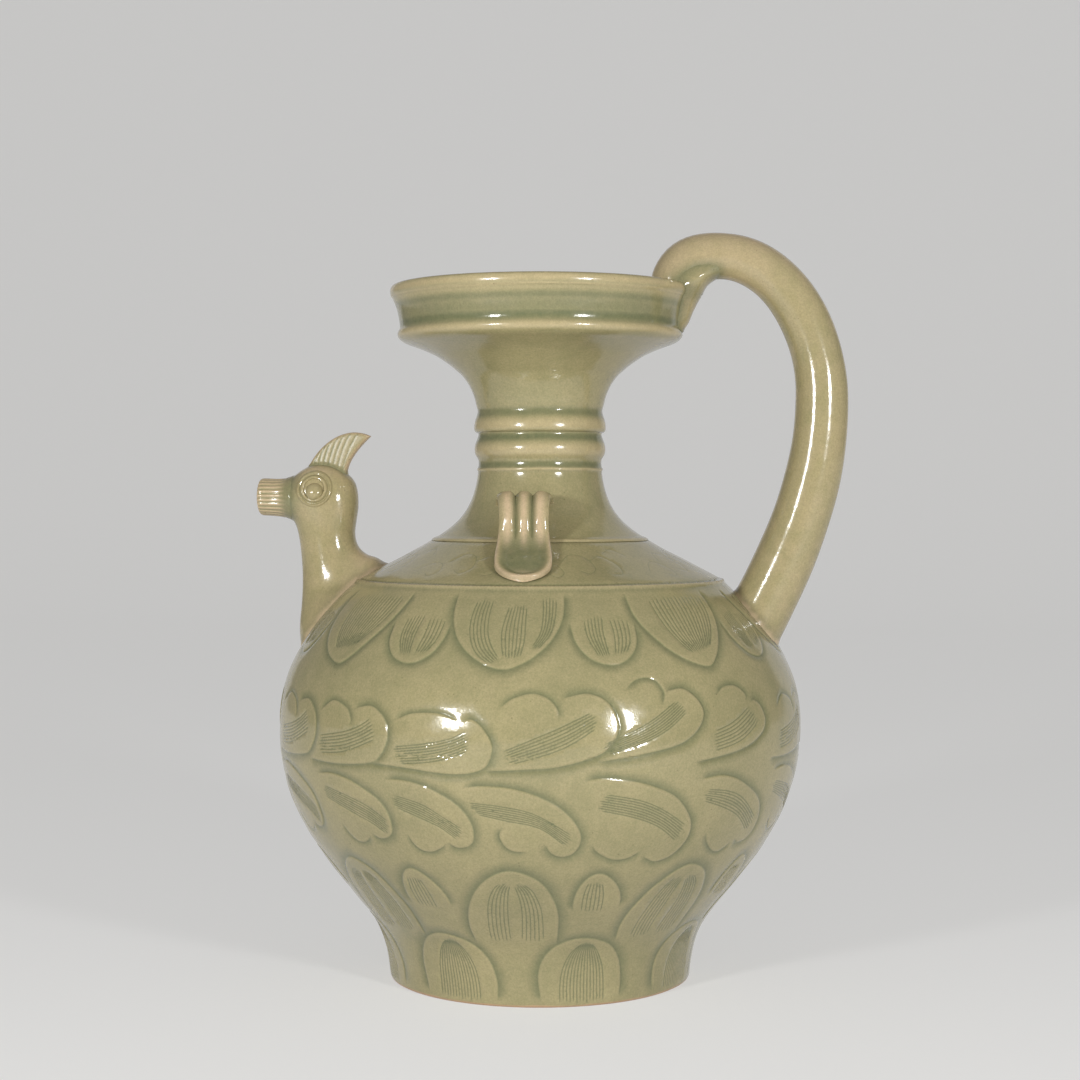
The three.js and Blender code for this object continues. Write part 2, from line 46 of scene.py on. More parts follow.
def clearBench():
    if bpy.context.object and bpy.context.object.mode != "OBJECT":
        bpy.ops.object.mode_set(mode="OBJECT")
    bpy.ops.object.select_all(action="DESELECT")


def pickUp(piece):
    clearBench()
    piece.select_set(True)
    bpy.context.view_layer.objects.active = piece


def setDown(name):
    # settles the active object's place into its mesh and names it
    bpy.ops.object.mode_set(mode="OBJECT")
    piece = bpy.context.object
    bpy.ops.object.transform_apply(location=True, rotation=True, scale=True)
    piece.name = name
    piece.data.name = name
    return piece


def finishWith(piece, kind, **values):
    pickUp(piece)
    bpy.ops.object.modifier_add(type=kind)
    modifier = piece.modifiers[-1]
    for key, value in values.items():
        setattr(modifier, key, value)
    bpy.ops.object.modifier_apply(modifier=modifier.name)


def roundOff(piece):
    # takes the corners off a form that was drawn out in stations
    finishWith(piece, "SUBSURF", levels=1, render_levels=1)


def smoothOver(piece, angle):
    pickUp(piece)
    bpy.ops.object.shade_smooth_by_angle(angle=math.radians(angle))


def selectOpenEdges():
    bpy.ops.object.mode_set(mode="EDIT")
    bpy.ops.mesh.select_mode(type="EDGE")
    bpy.ops.mesh.select_all(action="DESELECT")
    bpy.ops.mesh.select_non_manifold(extend=False, use_wire=False, use_multi_face=False,
                                     use_non_contiguous=False, use_verts=False)


def faceOutwards(piece):
    pickUp(piece)
    bpy.ops.object.mode_set(mode="EDIT")
    bpy.ops.mesh.select_all(action="SELECT")
    bpy.ops.mesh.normals_make_consistent(inside=False)
    bpy.ops.object.mode_set(mode="OBJECT")


def bridgeRims(piece):
    # joins the two open rims of a piece
    pickUp(piece)
    selectOpenEdges()
    bpy.ops.mesh.bridge_edge_loops()
    bpy.ops.object.mode_set(mode="OBJECT")
    faceOutwards(piece)


turnSign = -1   # without a window the rotate operator turns the other way


def turnRound(piece, degrees):
    # turns a piece about the ewer's axis
    pickUp(piece)
    bpy.ops.object.mode_set(mode="EDIT")
    bpy.ops.mesh.select_all(action="SELECT")
    bpy.ops.transform.rotate(value=math.radians(degrees) * turnSign, orient_axis="Z",
                             center_override=(0, 0, 0))
    bpy.ops.object.mode_set(mode="OBJECT")


def pointValues(piece, kind):
    values = np.empty(len(piece.data.vertices) * 3)
    piece.data.vertices.foreach_get(kind, values)
    return values.reshape(-1, 3)


def places(piece):
    return pointValues(piece, "co")


def normalsOf(piece):
    return pointValues(piece, "normal")


def putPlaces(piece, spots):
    piece.data.vertices.foreach_set("co", np.asarray(spots, float).ravel())
    piece.data.update()


def paint(piece, name, values):
    layer = piece.data.attributes.get(name) or piece.data.attributes.new(name, "FLOAT", "POINT")
    layer.data.foreach_set("value", np.clip(np.asarray(values, np.float32), 0, 1))


def painted(piece, name):
    layer = piece.data.attributes.get(name)
    values = np.zeros(len(piece.data.vertices), np.float32)
    if layer:
        layer.data.foreach_get("value", values)
    return values


# lines through given points, as (across, up)

def bezier(start, first, second, end, count):
    t = np.linspace(0, 1, count)[:, None]
    start, first, second, end = (np.array(p, float) for p in (start, first, second, end))
    return ((1 - t) ** 3 * start + 3 * (1 - t) ** 2 * t * first
            + 3 * (1 - t) * t * t * second + t ** 3 * end)


def bendLine(start, end, shares, count):
    # the control points lie at these shares across the stretch and up it
    spots = [(start[0] + (end[0] - start[0]) * a, start[1] + (end[1] - start[1]) * b)
             for a, b in shares]
    return bezier(start, spots[0], spots[1], end, count)


def bendThrough(shape, stops, bends, count):
    # one line through the shape's stops, with one of its bends between each two
    stops, bends = [shape[key] for key in stops], [shape[key] for key in bends]
    parts = [bendLine(a, b, shares, count) for a, b, shares in zip(stops, stops[1:], bends)]
    return np.vstack([parts[0]] + [part[1:] for part in parts[1:]])


def curveFrom(a, b, c, d, t):
    # the smooth curve from b to c, with a before them and d after
    return 0.5 * (2 * b + (c - a) * t + (2 * a - 5 * b + 4 * c - d) * t ** 2
                  + (3 * b - a - 3 * c + d) * t ** 3)


def padded(points):
    return np.vstack([2 * points[0] - points[1], points, 2 * points[-1] - points[-2]])


def lengthsAlong(line):
    return np.concatenate([[0], np.cumsum(np.hypot(*np.diff(line, axis=0).T))])


def pointsAt(where, along, line):
    return np.stack([np.interp(where, along, line[:, i]) for i in (0, 1)], 1)


def lengthShares(line, shares):
    along = lengthsAlong(line)
    return pointsAt(np.asarray(shares) * along[-1], along, line)


def easeLine(points, step):
    # a smooth line through the points, with even steps
    points = np.array(points, float)
    if len(points) == 2:
        count = max(int(np.hypot(*(points[1] - points[0])) / step), 2)
        return points[0] + (points[1] - points[0]) * np.linspace(0, 1, count + 1)[:, None]
    around = padded(points)
    t = np.linspace(0, 1, 17)[:-1, None]
    fine = np.vstack([curveFrom(*around[i:i + 4], t) for i in range(len(points) - 1)] + [points[-1:]])
    along = lengthsAlong(fine)
    count = max(int(along[-1] / step), 3)
    return pointsAt(np.linspace(0, along[-1], count + 1), along, fine)


def wayAlong(line, *along):
    way = np.gradient(line, *along, axis=0)
    return way / np.maximum(np.hypot(*way.T), 1e-6)[:, None]


def besideWay(way):
    # square to the way, on its right
    return np.stack([way[:, 1], -way[:, 0]], 1)


def easeIn(low, high, value):
    t = np.clip((value - low) / (high - low), 0, 1)
    return t * t * (3 - 2 * t)


def swell(value, middle, half):
    # 1 at the middle, falling off on both sides
    return np.exp(-((value - middle) / half) ** 2)


# the camera stands where the photograph was taken from

cameraPlace = {
    "lens": 70, "film": 36, "near": 0.02, "away": 0.9345, "eye": 0.2132,
    "turn": 7.3, "down": 1.2275,   # degrees round from the front, and down from level
}


def setCamera():
    turn, away = math.radians(cameraPlace["turn"]), cameraPlace["away"]
    bpy.ops.object.camera_add(location=(away * math.sin(turn), -away * math.cos(turn), cameraPlace["eye"]),
                              rotation=(math.radians(90 - cameraPlace["down"]), 0, turn))
    camera = bpy.context.object
    camera.name = "camera"
    camera.data.lens = cameraPlace["lens"]
    camera.data.sensor_width = cameraPlace["film"]
    camera.data.clip_start = cameraPlace["near"]
    bpy.context.scene.camera = camera


clearBench()
for spare in ("Cube", "Light", "Camera"):
    if spare in bpy.data.objects:
        bpy.data.objects[spare].select_set(True)
bpy.ops.object.delete()
setCamera()
print("camera set")


# the thrown body; its places are (radius, height) in mm

thrown = {
    "foot": (66.6, 1.2), "waist": (83.1, 38.8), "belly": (115.3, 110),
    "ring": (81.1, 175.6), "seat": (48.2, 193.2),
    "footBend": [(0.13, 0.57), (0.5, 0.73)], "waistBend": [(0.31, 0.18), (1, 0.51)],
    "bellyBend": [(0, 0.16), (-0.05, 0.515)], "shoulderBend": [(0.23, 0.27), (0.75, 0.72)],
    "wall": 5.2, "base": 8, "insideSides": 96, "insideRows": 26,
    "footRound": [(0.35, 0.75), (0.85, 0.45)],   # in and down, under the foot's edge
    "ringRise": 0.62, "ringHalf": 0.75, "ringGroove": 0.35, "grooveUp": 1.75, "grooveHalf": 0.5,
    # how the glaze lies on the ring: strength, place, half width
    "ringThins": [(0.9, 0, 0.7)], "ringPools": [(0.9, 1.8, 0.6), (0.5, -1.6, 0.8)],
    "sway": 0.1, "swayEnds": 12,   # how far the wall sways, and how far from its ends it begins to
}
profile = bendThrough(thrown, ("foot", "waist", "belly", "ring", "seat"),
                      ("footBend", "waistBend", "bellyBend", "shoulderBend"), 160)
profileRun = lengthsAlong(profile)
profileWay = wayAlong(profile, profileRun)
bodyRun = profileRun[-1]


def runAt(height):
    return np.interp(height, profile[:, 1], profileRun)


def radiusAt(run):
    return np.interp(run, profileRun, profile[:, 0])


def heightAt(run):
    return np.interp(run, profileRun, profile[:, 1])


# the wall is also laid flat as a map, in mm: round the body across, and up the wall

mapRadius = 100.0   # the map is as wide as the way round at this radius
seamTurn = 90.0     # its two sides meet under the handle
toMap = math.radians(1) * mapRadius
mapLeft, mapRight = (seamTurn - 360) * toMap, seamTurn * toMap
seamRun = float(runAt(thrown["belly"][1]))   # where the two halves are luted
ringRun = float(runAt(thrown["ring"][1]))


# Every cut is drawn as (turn in degrees from the front, height in mm), the turn growing
# towards the handle. A cut has one steep side against the leaf and one long soft slope.
# A comb is the line of its first tooth, the line of its last tooth and the number of teeth.

hangingPetal = {
    "cut": [(-15.2, 173.4), (-14.2, 164.8), (-12.0, 157.4), (-8.6, 151.2), (-4.4, 146.6), (0.1, 144.4),
            (4.2, 146.6), (8.2, 151.2), (11.4, 157), (13.9, 164.6), (14.9, 173.4)],
    "at": -0.8, "waver": 0.5, "inset": (0, 0), "middle": (0, 160), "slope": 4.2, "depth": 0.85,
    "combs": [([(-8.5, 171.2), (-9.1, 165.7), (-8.8, 159.2), (-7.2, 152.7), (-5, 148.7), (-2.1, 145.8)],
               [(-4.4, 171.3), (-4.7, 164.7), (-4.2, 158.2), (-2.8, 152.8), (-0.5, 147.8)], 6),
              ([(0.3, 168.9), (-0.4, 164.2), (-0.9, 159.3), (-0.6, 153.9), (0.2, 148)],
               [(4.7, 169.4), (4.6, 162.1), (4.5, 155.1), (3.6, 148.4)], 7),
              ([(9, 172.2), (8.9, 164.8), (8.1, 157.8), (5.9, 151.9)],
               [(12.6, 171.9), (11.9, 164.3), (10.5, 157.8), (7.3, 151.6)], 5)],
}
turnedPetal = {   # every other hanging petal turns its point aside and is lined all over
    "cut": [(-12.9, 173.2), (-13, 166), (-11.6, 160.5), (-8.4, 153.7), (-5.3, 149.1), (-1.4, 145.6),
            (2.8, 143.9), (5.9, 147.3), (9.2, 153), (12.4, 160), (14.6, 167), (15.4, 173.2)],
    "at": -0.8, "waver": 0.5, "inset": (0, 0), "middle": (0, 160), "slope": 4.2, "depth": 0.85,
    "combs": [([(-6.4, 171.6), (-6, 164.1), (-4.1, 156.2), (-0.6, 148.4)],
               [(13, 172), (11.9, 165.8), (9.2, 158.6), (5.2, 151)], 15)],
}
hangingBud = {
    "cut": [(-8.3, 162.4), (-7.3, 154.6), (-5.0, 149.2), (-1.9, 146.4), (1.6, 146.1),
            (5.0, 149.2), (7.3, 154.8), (8.2, 162.4)],
    "turns": (22.8, 67.1, 113.0, 157.2, 202.8, 247.4, 292.3, 337.0),
    "inset": (0, 0), "middle": (0, 156), "slope": 3.8, "depth": 0.8,
    "combs": [([(-4.6, 163.8), (-4.4, 156.6), (-2.3, 148.6)], [(0, 165.2), (-0.5, 157.6), (-0.1, 148.6)], 6),
              ([(2, 163.8), (2.1, 157.2), (1.3, 149.2)],
               [(6.3, 163.3), (6.1, 158.4), (5.4, 154.1), (3.7, 149.9)], 5)],
}
upperLeaves = [
    {"at": -45.6, "lobe": [(0, 125.1), (2.2, 128.6), (4.9, 130.5), (9.4, 127.8), (11.3, 123), (11.1, 119.6)],
     "main": [(11.4, 126.6), (12.9, 128.2), (16.6, 128.7), (20.3, 123.3), (21, 115.8), (19.2, 108.9),
              (16.1, 105.2), (6.2, 103.5), (-3.4, 104)],
     "combs": ([(0.4, 114.2), (5.4, 115.8), (9.9, 117.6), (13.9, 120.5), (16.8, 124.3)],
               [(0.3, 107.2), (7.8, 108.6), (13.3, 111.8), (18.2, 115.8)], 7)},
    {"at": -23.4, "lobe": [(0, 124.5), (3.9, 127.6), (9.9, 128.1), (14.4, 125.6)],
     "main": [(14.9, 124.4), (16.8, 125.6), (18.9, 123.3), (21.2, 116.8), (21.3, 111.1), (19.4, 105.2),
              (13.3, 102.9), (1.3, 104.8), (-7.2, 105.7)],
     "combs": ([(-0.6, 112.6), (7.9, 115), (13, 117.4), (16.4, 120.6)],
               [(1.2, 106.2), (7.8, 107.4), (12.4, 109.5), (16.9, 113)], 8)},
    {"at": -1.3, "lobe": [(0, 129.9), (2.5, 134), (6.7, 136.4), (10.1, 134.8), (12.3, 130.8),
                          (12.9, 127.2), (12.5, 124.7)],
     "main": [(12.9, 132.8), (14.1, 134.4), (18.6, 135.6), (22.4, 132.1), (24.3, 125.5), (24.2, 119),
              (21.2, 111.8), (12.8, 106.7), (4.6, 105.4), (-2.5, 104.8)],
     "combs": ([(0.8, 112.2), (7.6, 117.9), (12.4, 121.9), (19.7, 128.6)],
               [(2.2, 107.2), (12.8, 113.7), (20.3, 122.4)], 7)},
    {"at": 25.4, "lobe": [(0, 135.3), (2.5, 139), (5.9, 139.2), (7.6, 134.6), (6.8, 129.8)],
     "main": [(8.2, 134.6), (9.5, 135.9), (13.1, 136.2), (16.3, 131.4), (17.4, 125.4), (15.4, 119),
              (10.7, 113.7), (1.4, 110.4), (-6.8, 108.3)],
     "combs": ([(-6, 114.6), (3.2, 122.4), (7.8, 127.6), (11.3, 131.9)],
               [(-5.4, 110.9), (3.1, 115.6), (8.6, 120.6), (13.4, 127.4)], 8)},
    {"at": 46.2, "lobe": [(0, 133), (2.8, 136.4), (6.8, 136.6), (9.9, 132.6), (9.8, 128.7)],
     "main": [(10.4, 128.6), (12.2, 129.6), (14.6, 126.3), (15.7, 120.1), (13.6, 114.4), (6.9, 109.5),
              (-6, 106.3)],
     "combs": ([(-1.6, 117.8), (3.6, 120.6), (7.4, 124), (10, 126.8)],
               [(-1.6, 110.2), (5.6, 112.8), (10.4, 117.2), (12.9, 121.2)], 7)},
]
lowerLeaves = [
    {"at": -46.3, "top": [(0, 99.5), (5.2, 100.5), (10.5, 98.9), (14.8, 95.6), (18.3, 91.8), (20.4, 87),
                          (21.1, 81), (20.4, 76.2), (18.4, 73.4), (15.8, 72.8), (13.6, 75)],
     "lobe": [(5, 78.2), (6.4, 73.7), (8.6, 70.9), (11.4, 71.4), (13.4, 74.4)],
     "combs": ([(1.2, 93.7), (9.9, 90.3), (15.7, 86.6), (20, 81.2)],
               [(1.0, 89.4), (10.1, 83.7), (15.6, 79.8), (19.1, 75.2)], 7)},
    {"at": -25.7, "top": [(0, 100.6), (4.3, 100.8), (9.1, 99), (13.7, 95.1), (17.2, 90.1), (19.2, 83.9),
                          (19.6, 78.5), (18.9, 74.3), (17, 72), (14.5, 71.7), (12.5, 74.1)],
     "lobe": [(3.7, 77.1), (4.3, 73.4), (6, 70.4), (8.6, 70), (11.2, 72.1), (12.4, 74.2)],
     "combs": ([(1.2, 93.4), (7.9, 90.4), (12.4, 85.7), (17.3, 79.9)],
               [(1.2, 88.9), (7.5, 84.5), (12.0, 80.9), (15.6, 75.4)], 7)},
    {"at": -8.2, "top": [(0, 99.1), (4, 100), (9.6, 99.2), (14.7, 96.4), (19.4, 91.6), (22.8, 85.2),
                         (24.6, 78.8), (24.3, 73.2), (22.6, 69.5), (19.8, 68.5), (17.4, 70.6), (16, 74.9)],
     "lobe": [(8, 82.3), (7, 78.8), (7.9, 74.2), (9.9, 71.7), (12.7, 71.8)],
     "combs": ([(0.2, 91.9), (7.7, 90.6), (14.7, 87.2), (22.8, 77.7)],
               [(1.9, 87.6), (8.5, 84.8), (15.5, 81.8), (21.3, 73.4)], 7)},
    {"at": 15.8, "top": [(0, 101.9), (3.5, 103), (8.4, 102.1), (14.5, 99.1), (20.2, 94), (23.9, 87.1),
                         (25.9, 80.4), (25.6, 73), (22.7, 66.8), (18.6, 64.5), (15.4, 66.6), (14.7, 68.6)],
     "lobe": [(2.4, 74.5), (4.3, 70.6), (8, 67.4), (11.5, 68), (14.2, 71)],
     "combs": ([(3.8, 95.6), (11.9, 92.3), (17.6, 87.6), (24.2, 79.8)],
               [(2.6, 89.2), (10.8, 85.4), (17.1, 80.6), (22.7, 73.2)], 8)},
    {"at": 41.5, "top": [(0, 100.3), (5.6, 101.1), (10.4, 99), (14.7, 95), (18.8, 90.4), (21.7, 85.4),
                         (23.2, 79), (23, 72.6), (20.9, 68.6), (17.6, 68), (15.4, 70.4)],
     "lobe": [(4.7, 75.9), (5.9, 71.6), (8.5, 67.6), (11, 66.3), (13, 67.5), (14.6, 70.2)],
     "combs": ([(1.6, 94.8), (8.6, 92.8), (14, 88.4), (21.3, 78.2)],
               [(1.2, 90.4), (8, 86), (13.6, 81.2), (19.4, 73)], 7)},
]
risingPetal = {
    "cut": [(-13.4, 27.6), (-13.9, 35.4), (-12.6, 43.6), (-9.2, 53), (-4.6, 60.4), (0, 63.9), (4.4, 62.8),
            (8.8, 58.2), (12.0, 50.2), (13.7, 42), (14, 31.5), (13.6, 27.4)],
    "at": -0.6, "waver": -0.5, "inset": (1.2, 2.0),   # every other one is a little slimmer
    "middle": (0, 44), "slope": 5.4, "depth": 0.8,
    "combs": [([(-1.1, 57.8), (-3, 55.3), (-4.6, 51.4), (-5.7, 46.9), (-6.4, 42.4), (-7.1, 35.5),
                (-7.2, 28.7)],
               [(1, 57.2), (0.3, 54.4), (-0.2, 50.6), (-0.8, 42.8), (-1.1, 36), (-1.2, 29.1)], 6),
              ([(1.6, 57), (2.3, 53.4), (2.9, 49.1), (3.1, 42.9), (2.8, 36.1), (2.3, 29.3)],
               [(3.3, 57.7), (5.7, 54.6), (7, 50.8), (8.2, 45.2), (8.7, 38.5), (9, 29.4)], 6)],
}
risingBud = {
    "cut": [(-6.2, 44.5), (-6.6, 48.4), (-5.9, 54.3), (-4.3, 58.8), (-2.3, 61.3), (-0.1, 61.1), (2.6, 57.9),
            (4.8, 53.4), (6, 48.9), (6.1, 45.5)],
    "at": 22.4, "waver": 0.5, "inset": (0, 0), "middle": (0, 52), "slope": 4.6, "depth": 0.72,
    "combs": [([(-3.4, 57.9), (-4.1, 52.6), (-4.2, 48.2), (-4, 43.8)],
               [(-0.2, 57.6), (0.8, 52.2), (1.2, 47.8), (1.3, 43.3)], 6)],
}
footPetal = {
    "cut": [(-14, 2.6), (-15.2, 12.6), (-13.8, 20.6), (-9.6, 27.2), (-3.6, 30.7), (2.4, 30.2), (8.6, 26.8),
            (13.4, 19.4), (15.4, 10), (15, 2.6)],
    "at": 21.8, "waver": 0, "inset": (0, 0), "middle": (0, 14), "slope": 5.2, "depth": 0.7,
    "combs": [([(-0.4, 29), (-4.3, 24), (-6.8, 16.5), (-7.5, 9), (-7.3, 1.4)],
               [(1, 29), (4.2, 25), (7.2, 17.6), (8.5, 9), (8.7, 1.4)], 14)],
}
cloudScroll = {   # one cloud of the faint incised scroll on the shoulder
    "at": 21.8, "waver": 0, "depth": 0.07, "pool": 0.5,
    "lines": [
        [(-19, 181.2), (-14, 184.6), (-9, 184.4), (-6.4, 181.4), (-8.6, 179.4), (-11.6, 180.6)],
        [(-7, 184.8), (-2.4, 188.2), (3.4, 187.4), (5.6, 183.4), (2.6, 180.8), (-1.2, 182.2)],
        [(5, 185.8), (10.6, 187.6), (15, 184.2), (14, 180.6), (10.2, 180.4)],
        [(13, 188.6), (19, 190.2), (24, 187.4)],
    ],
}
scrollBands = [   # each ring of leaves: how far on it repeats, and how each of its lines is cut
    {"leaves": upperLeaves, "repeat": 112.8,
     "cuts": {"lobe": {"middle": (5.5, 122), "slope": 3.0, "depth": 0.7, "inset": (1.2, 1.2)},
              "main": {"middle": (9, 116), "slope": 4.2, "depth": 0.9, "inset": (0.6, 0)}}},
    {"leaves": lowerLeaves, "repeat": 112.2,
     "cuts": {"top": {"middle": (10, 84), "slope": 4.2, "depth": 0.9, "inset": (1.2, 1.0)},
              "lobe": {"middle": (9, 78), "slope": 2.8, "depth": 0.7, "inset": (0, 0)}}},
]
leafCount = 16
petalCount = 8

tool = {   # what the knife and the comb leave, in mm or as shares
    "relief": 0.44,                  # how much of each drawn depth the glaze leaves open
    "lipIn": 0.35, "lipOut": 0.25,   # a cut falls from the leaf's face to its floor between these
    "narrow": 0.45, "slopeBend": 1.8, "poolBend": 1.25, "poolShare": 0.92, "edgeThin": 0.18, "edgeHalf": 0.5,
    "combDepth": 0.2, "toothHalf": 0.4, "arch": 0.03, "slip": 0.014, "underComb": 0.6,
    "cutFade": ((5.0, 0.8), (4.0, 0.6)),    # at each end: the length that it fades over, and what it keeps
    "combFade": ((1.6, 0.4), (1.6, 0.4)),
    "cutStep": 1.3, "combStep": 1.4, "spreadStep": 1.5, "margin": 0.8,
}


def spread(first, last, count):
    # lines that change evenly from the first into the last
    lines = [easeLine(line, tool["spreadStep"]) for line in (first, last)]
    size = max(map(len, lines))
    first, last = (pointsAt(np.linspace(0, len(line) - 1, size), np.arange(len(line)), line)
                   for line in lines)
    return [first + (last - first) * share for share in np.linspace(0, 1, count)]


def petalTurn(petal, index):
    # petals stand evenly round the body, a little off as by hand, but the buds were set one by one
    if "turns" in petal:
        return petal["turns"][index]
    return 360 / petalCount * index + petal["at"] + petal["waver"] * math.sin(index * 2.4)


def shifted(line, turn):
    return [(a + turn, height) for a, height in line]


def drawOrnament():
    cuts, combs = [], []

    def addCut(line, shape, turn, inset):
        # the inset moves the line in towards the leaf, from its first end to its last
        middle = (shape["middle"][0] + turn, shape["middle"][1])
        cuts.append({"line": shifted(line, turn), "middle": middle, "slope": shape["slope"],
                     "depth": shape["depth"] * tool["relief"], "inset": inset})

    def addCombs(first, last, count, turn):
        # the outer teeth of the comb start and stop a little short of the middle ones
        for index, line in enumerate(spread(first, last, count)):
            bend = tool["arch"] * (2 * index / (count - 1) - 1) ** 2
            slip = [bend + tool["slip"] * (1 + math.sin(index * 2.4 + turn + end)) for end in (0, 2)]
            even = np.linspace(slip[0], 1 - slip[1], len(line)) * (len(line) - 1)
            line = pointsAt(even, np.arange(len(line)), line)
            combs.append({"line": shifted(line, turn), "depth": tool["combDepth"], "pool": 1.0})

    for index in range(petalCount):
        hanging = turnedPetal if index % 2 else hangingPetal
        for petal in (hanging, hangingBud, risingPetal, risingBud, footPetal):
            turn, inset = petalTurn(petal, index), petal["inset"][index % 2]
            addCut(petal["cut"], petal, turn, (inset, inset))
            for first, last, count in petal["combs"]:
                addCombs(first, last, count, turn)
        for line in cloudScroll["lines"]:
            combs.append({"line": shifted(line, petalTurn(cloudScroll, index)),
                          "depth": cloudScroll["depth"], "pool": cloudScroll["pool"]})
    # five leaves are seen in front, and the scroll repeats them behind
    for index in range(leafCount):
        for band in scrollBands:
            again, which = divmod(index, len(band["leaves"]))
            leaf = band["leaves"][which]
            turn = leaf["at"] + band["repeat"] * again
            for name, shape in band["cuts"].items():
                addCut(leaf[name], shape, turn, shape["inset"])
            addCombs(*leaf["combs"], turn)
    return cuts, combs


def layOut(stroke, step):
    # a stroke near its own place on the map, with its way and, for a cut, its side away from the leaf
    line = np.array(stroke["line"], float)
    run = runAt(line[:, 1])
    stroke["radius"] = float(radiusAt(run.mean()))
    stroke["turn"] = float(line[:, 0].mean())
    across = np.radians(line[:, 0] - stroke["turn"]) * stroke["radius"]
    stroke["path"] = easeLine(np.stack([across, run], 1), step)
    stroke["way"] = wayAlong(stroke["path"])
    if "middle" in stroke:
        turn, height = stroke["middle"]
        spot = np.array([math.radians(turn - stroke["turn"]) * stroke["radius"], float(runAt(height))])
        nearest = np.argmin(np.hypot(*(stroke["path"] - spot).T))
        toMiddle = spot - stroke["path"][nearest]
        way = stroke["way"][nearest]
        stroke["side"] = 1.0 if way[0] * toMiddle[1] - way[1] * toMiddle[0] > 0 else -1.0
        out = besideWay(stroke["way"]) * stroke["side"]
        stroke["path"] = stroke["path"] - out * np.linspace(*stroke["inset"], len(out))[:, None]
        stroke["way"] = wayAlong(stroke["path"])


def fromStretches(spots, start, stretch):
    # for each spot and stretch: the share of the stretch that lies nearest, and the gap to it
    size = np.maximum((stretch ** 2).sum(1), 1e-9)
    share = np.clip(((spots[:, None] - start) * stretch).sum(2) / size, 0, 1)
    return share, spots[:, None] - (start + stretch * share[..., None])


def carve(turns, runs, strokes):
    # how deep each place is cut, how much glaze pools there, and where it runs thin on an edge
    depth, pool, thin = np.zeros((3, len(turns)))
    for stroke in strokes:
        isCut = "side" in stroke
        margin = stroke.get("slope", 0) + tool["margin"]
        low, high = stroke["path"].min(0) - margin, stroke["path"].max(0) + margin
        x = np.radians((turns - stroke["turn"] + 180) % 360 - 180) * stroke["radius"]
        near = np.nonzero((x > low[0]) & (x < high[0]) & (runs > low[1]) & (runs < high[1]))[0]
        if len(near) == 0:
            continue
        start = stroke["path"][:-1]
        stretch = stroke["path"][1:] - start
        share, gap = fromStretches(np.stack([x[near], runs[near]], 1), start, stretch)
        far = np.hypot(gap[..., 0], gap[..., 1])
        best = far.argmin(1)
        row = np.arange(len(near))
        distance = far[row, best]
        along = lengthsAlong(stroke["path"])
        place = along[best] + share[row, best] * np.diff(along)[best]
        fade = 1.0
        for (length, kept), past in zip(tool["cutFade" if isCut else "combFade"], (place, along[-1] - place)):
            fade = fade * easeIn(0, length, past + kept)
        if isCut:
            cross = stretch[best, 0] * gap[row, best, 1] - stretch[best, 1] * gap[row, best, 0]
            outside = np.where(cross * stroke["side"] > 0, -1.0, 1.0) * distance
            width = stroke["slope"] * (tool["narrow"] + (1 - tool["narrow"]) * fade)
            slope = np.clip(1 - (outside - tool["lipOut"]) / width, 0, 1)
            steep = np.clip((outside + tool["lipIn"]) / (tool["lipIn"] + tool["lipOut"]), 0, 1)
            ground = outside > tool["lipOut"]
            cut = stroke["depth"] * fade * np.where(ground, slope ** tool["slopeBend"], steep)
            depth[near] = np.maximum(depth[near], cut)
            held = tool["poolShare"] * fade * np.where(ground, slope ** tool["poolBend"], steep)
            pool[near] = np.maximum(pool[near], held)
            edge = swell(outside, -tool["lipIn"] - tool["edgeHalf"], tool["edgeHalf"])
            thin[near] = np.maximum(thin[near], edge * fade * tool["edgeThin"])
        else:
            shape = np.clip(1 - distance / tool["toothHalf"], 0, 1) * fade
            depth[near] = np.maximum(depth[near], depth[near] * tool["underComb"] + stroke["depth"] * shape)
            pool[near] = np.maximum(pool[near], stroke["pool"] * shape)
    return depth, pool, thin


def bodyPlace(turns, runs, depth):
    way = pointsAt(runs, profileRun, profileWay)
    radius = radiusAt(runs) - depth * way[:, 1]
    height = heightAt(runs) + depth * way[:, 0]
    angle = np.radians(turns)
    return np.stack([radius * np.sin(angle), -radius * np.cos(angle), height], 1)


def sparse(points, taken, gap):
    # picks the points that don't crowd those already laid down
    keep = []
    for index, (x, y) in enumerate(points):
        cell = (int(x // gap), int(y // gap))
        around = (taken.get((cell[0] + i, cell[1] + j), ()) for i in (-1, 0, 1) for j in (-1, 0, 1))
        if not any((other[0] - x) ** 2 + (other[1] - y) ** 2 < gap * gap
                   for others in around for other in others):
            keep.append(index)
            taken.setdefault(cell, []).append((x, y))
    return keep


net = {   # how densely the wall is netted with points, in mm
    "sides": 260, "end": 1.2, "seam": 0.9, "besideSeam": 1.1, "ring": 1.6,
    "seamOffsets": (-0.25, 0.25), "ringOffsets": (-2.1, -1.1, -0.55, 0, 0.55, 0.95, 1.35, 1.9, 3.0),
    "nearCut": (0.8, -1.0), "slopeShares": (0.45, 0.7, 1), "onFace": -1.9,
    "strokeGap": 0.26, "freeGap": 0.3, "filler": 2.6, "fillerRise": 2.3, "fillerGap": 1.5,
    "clearSide": 0.7, "clearEnd": 0.5, "clearSeam": 0.35, "longest": 8,
    "sideSeam": 0.4, "fillerEnds": (1.2, 1), "fillerSeam": 0.8,
}


def mapRow(run, step):
    # even points round the body at one place up the wall, without those on the map's sides
    count = int(2 * math.pi * radiusAt(run) / step)
    return np.stack([np.linspace(mapLeft, mapRight, count + 1), np.full(count + 1, run)], 1)[1:-1]


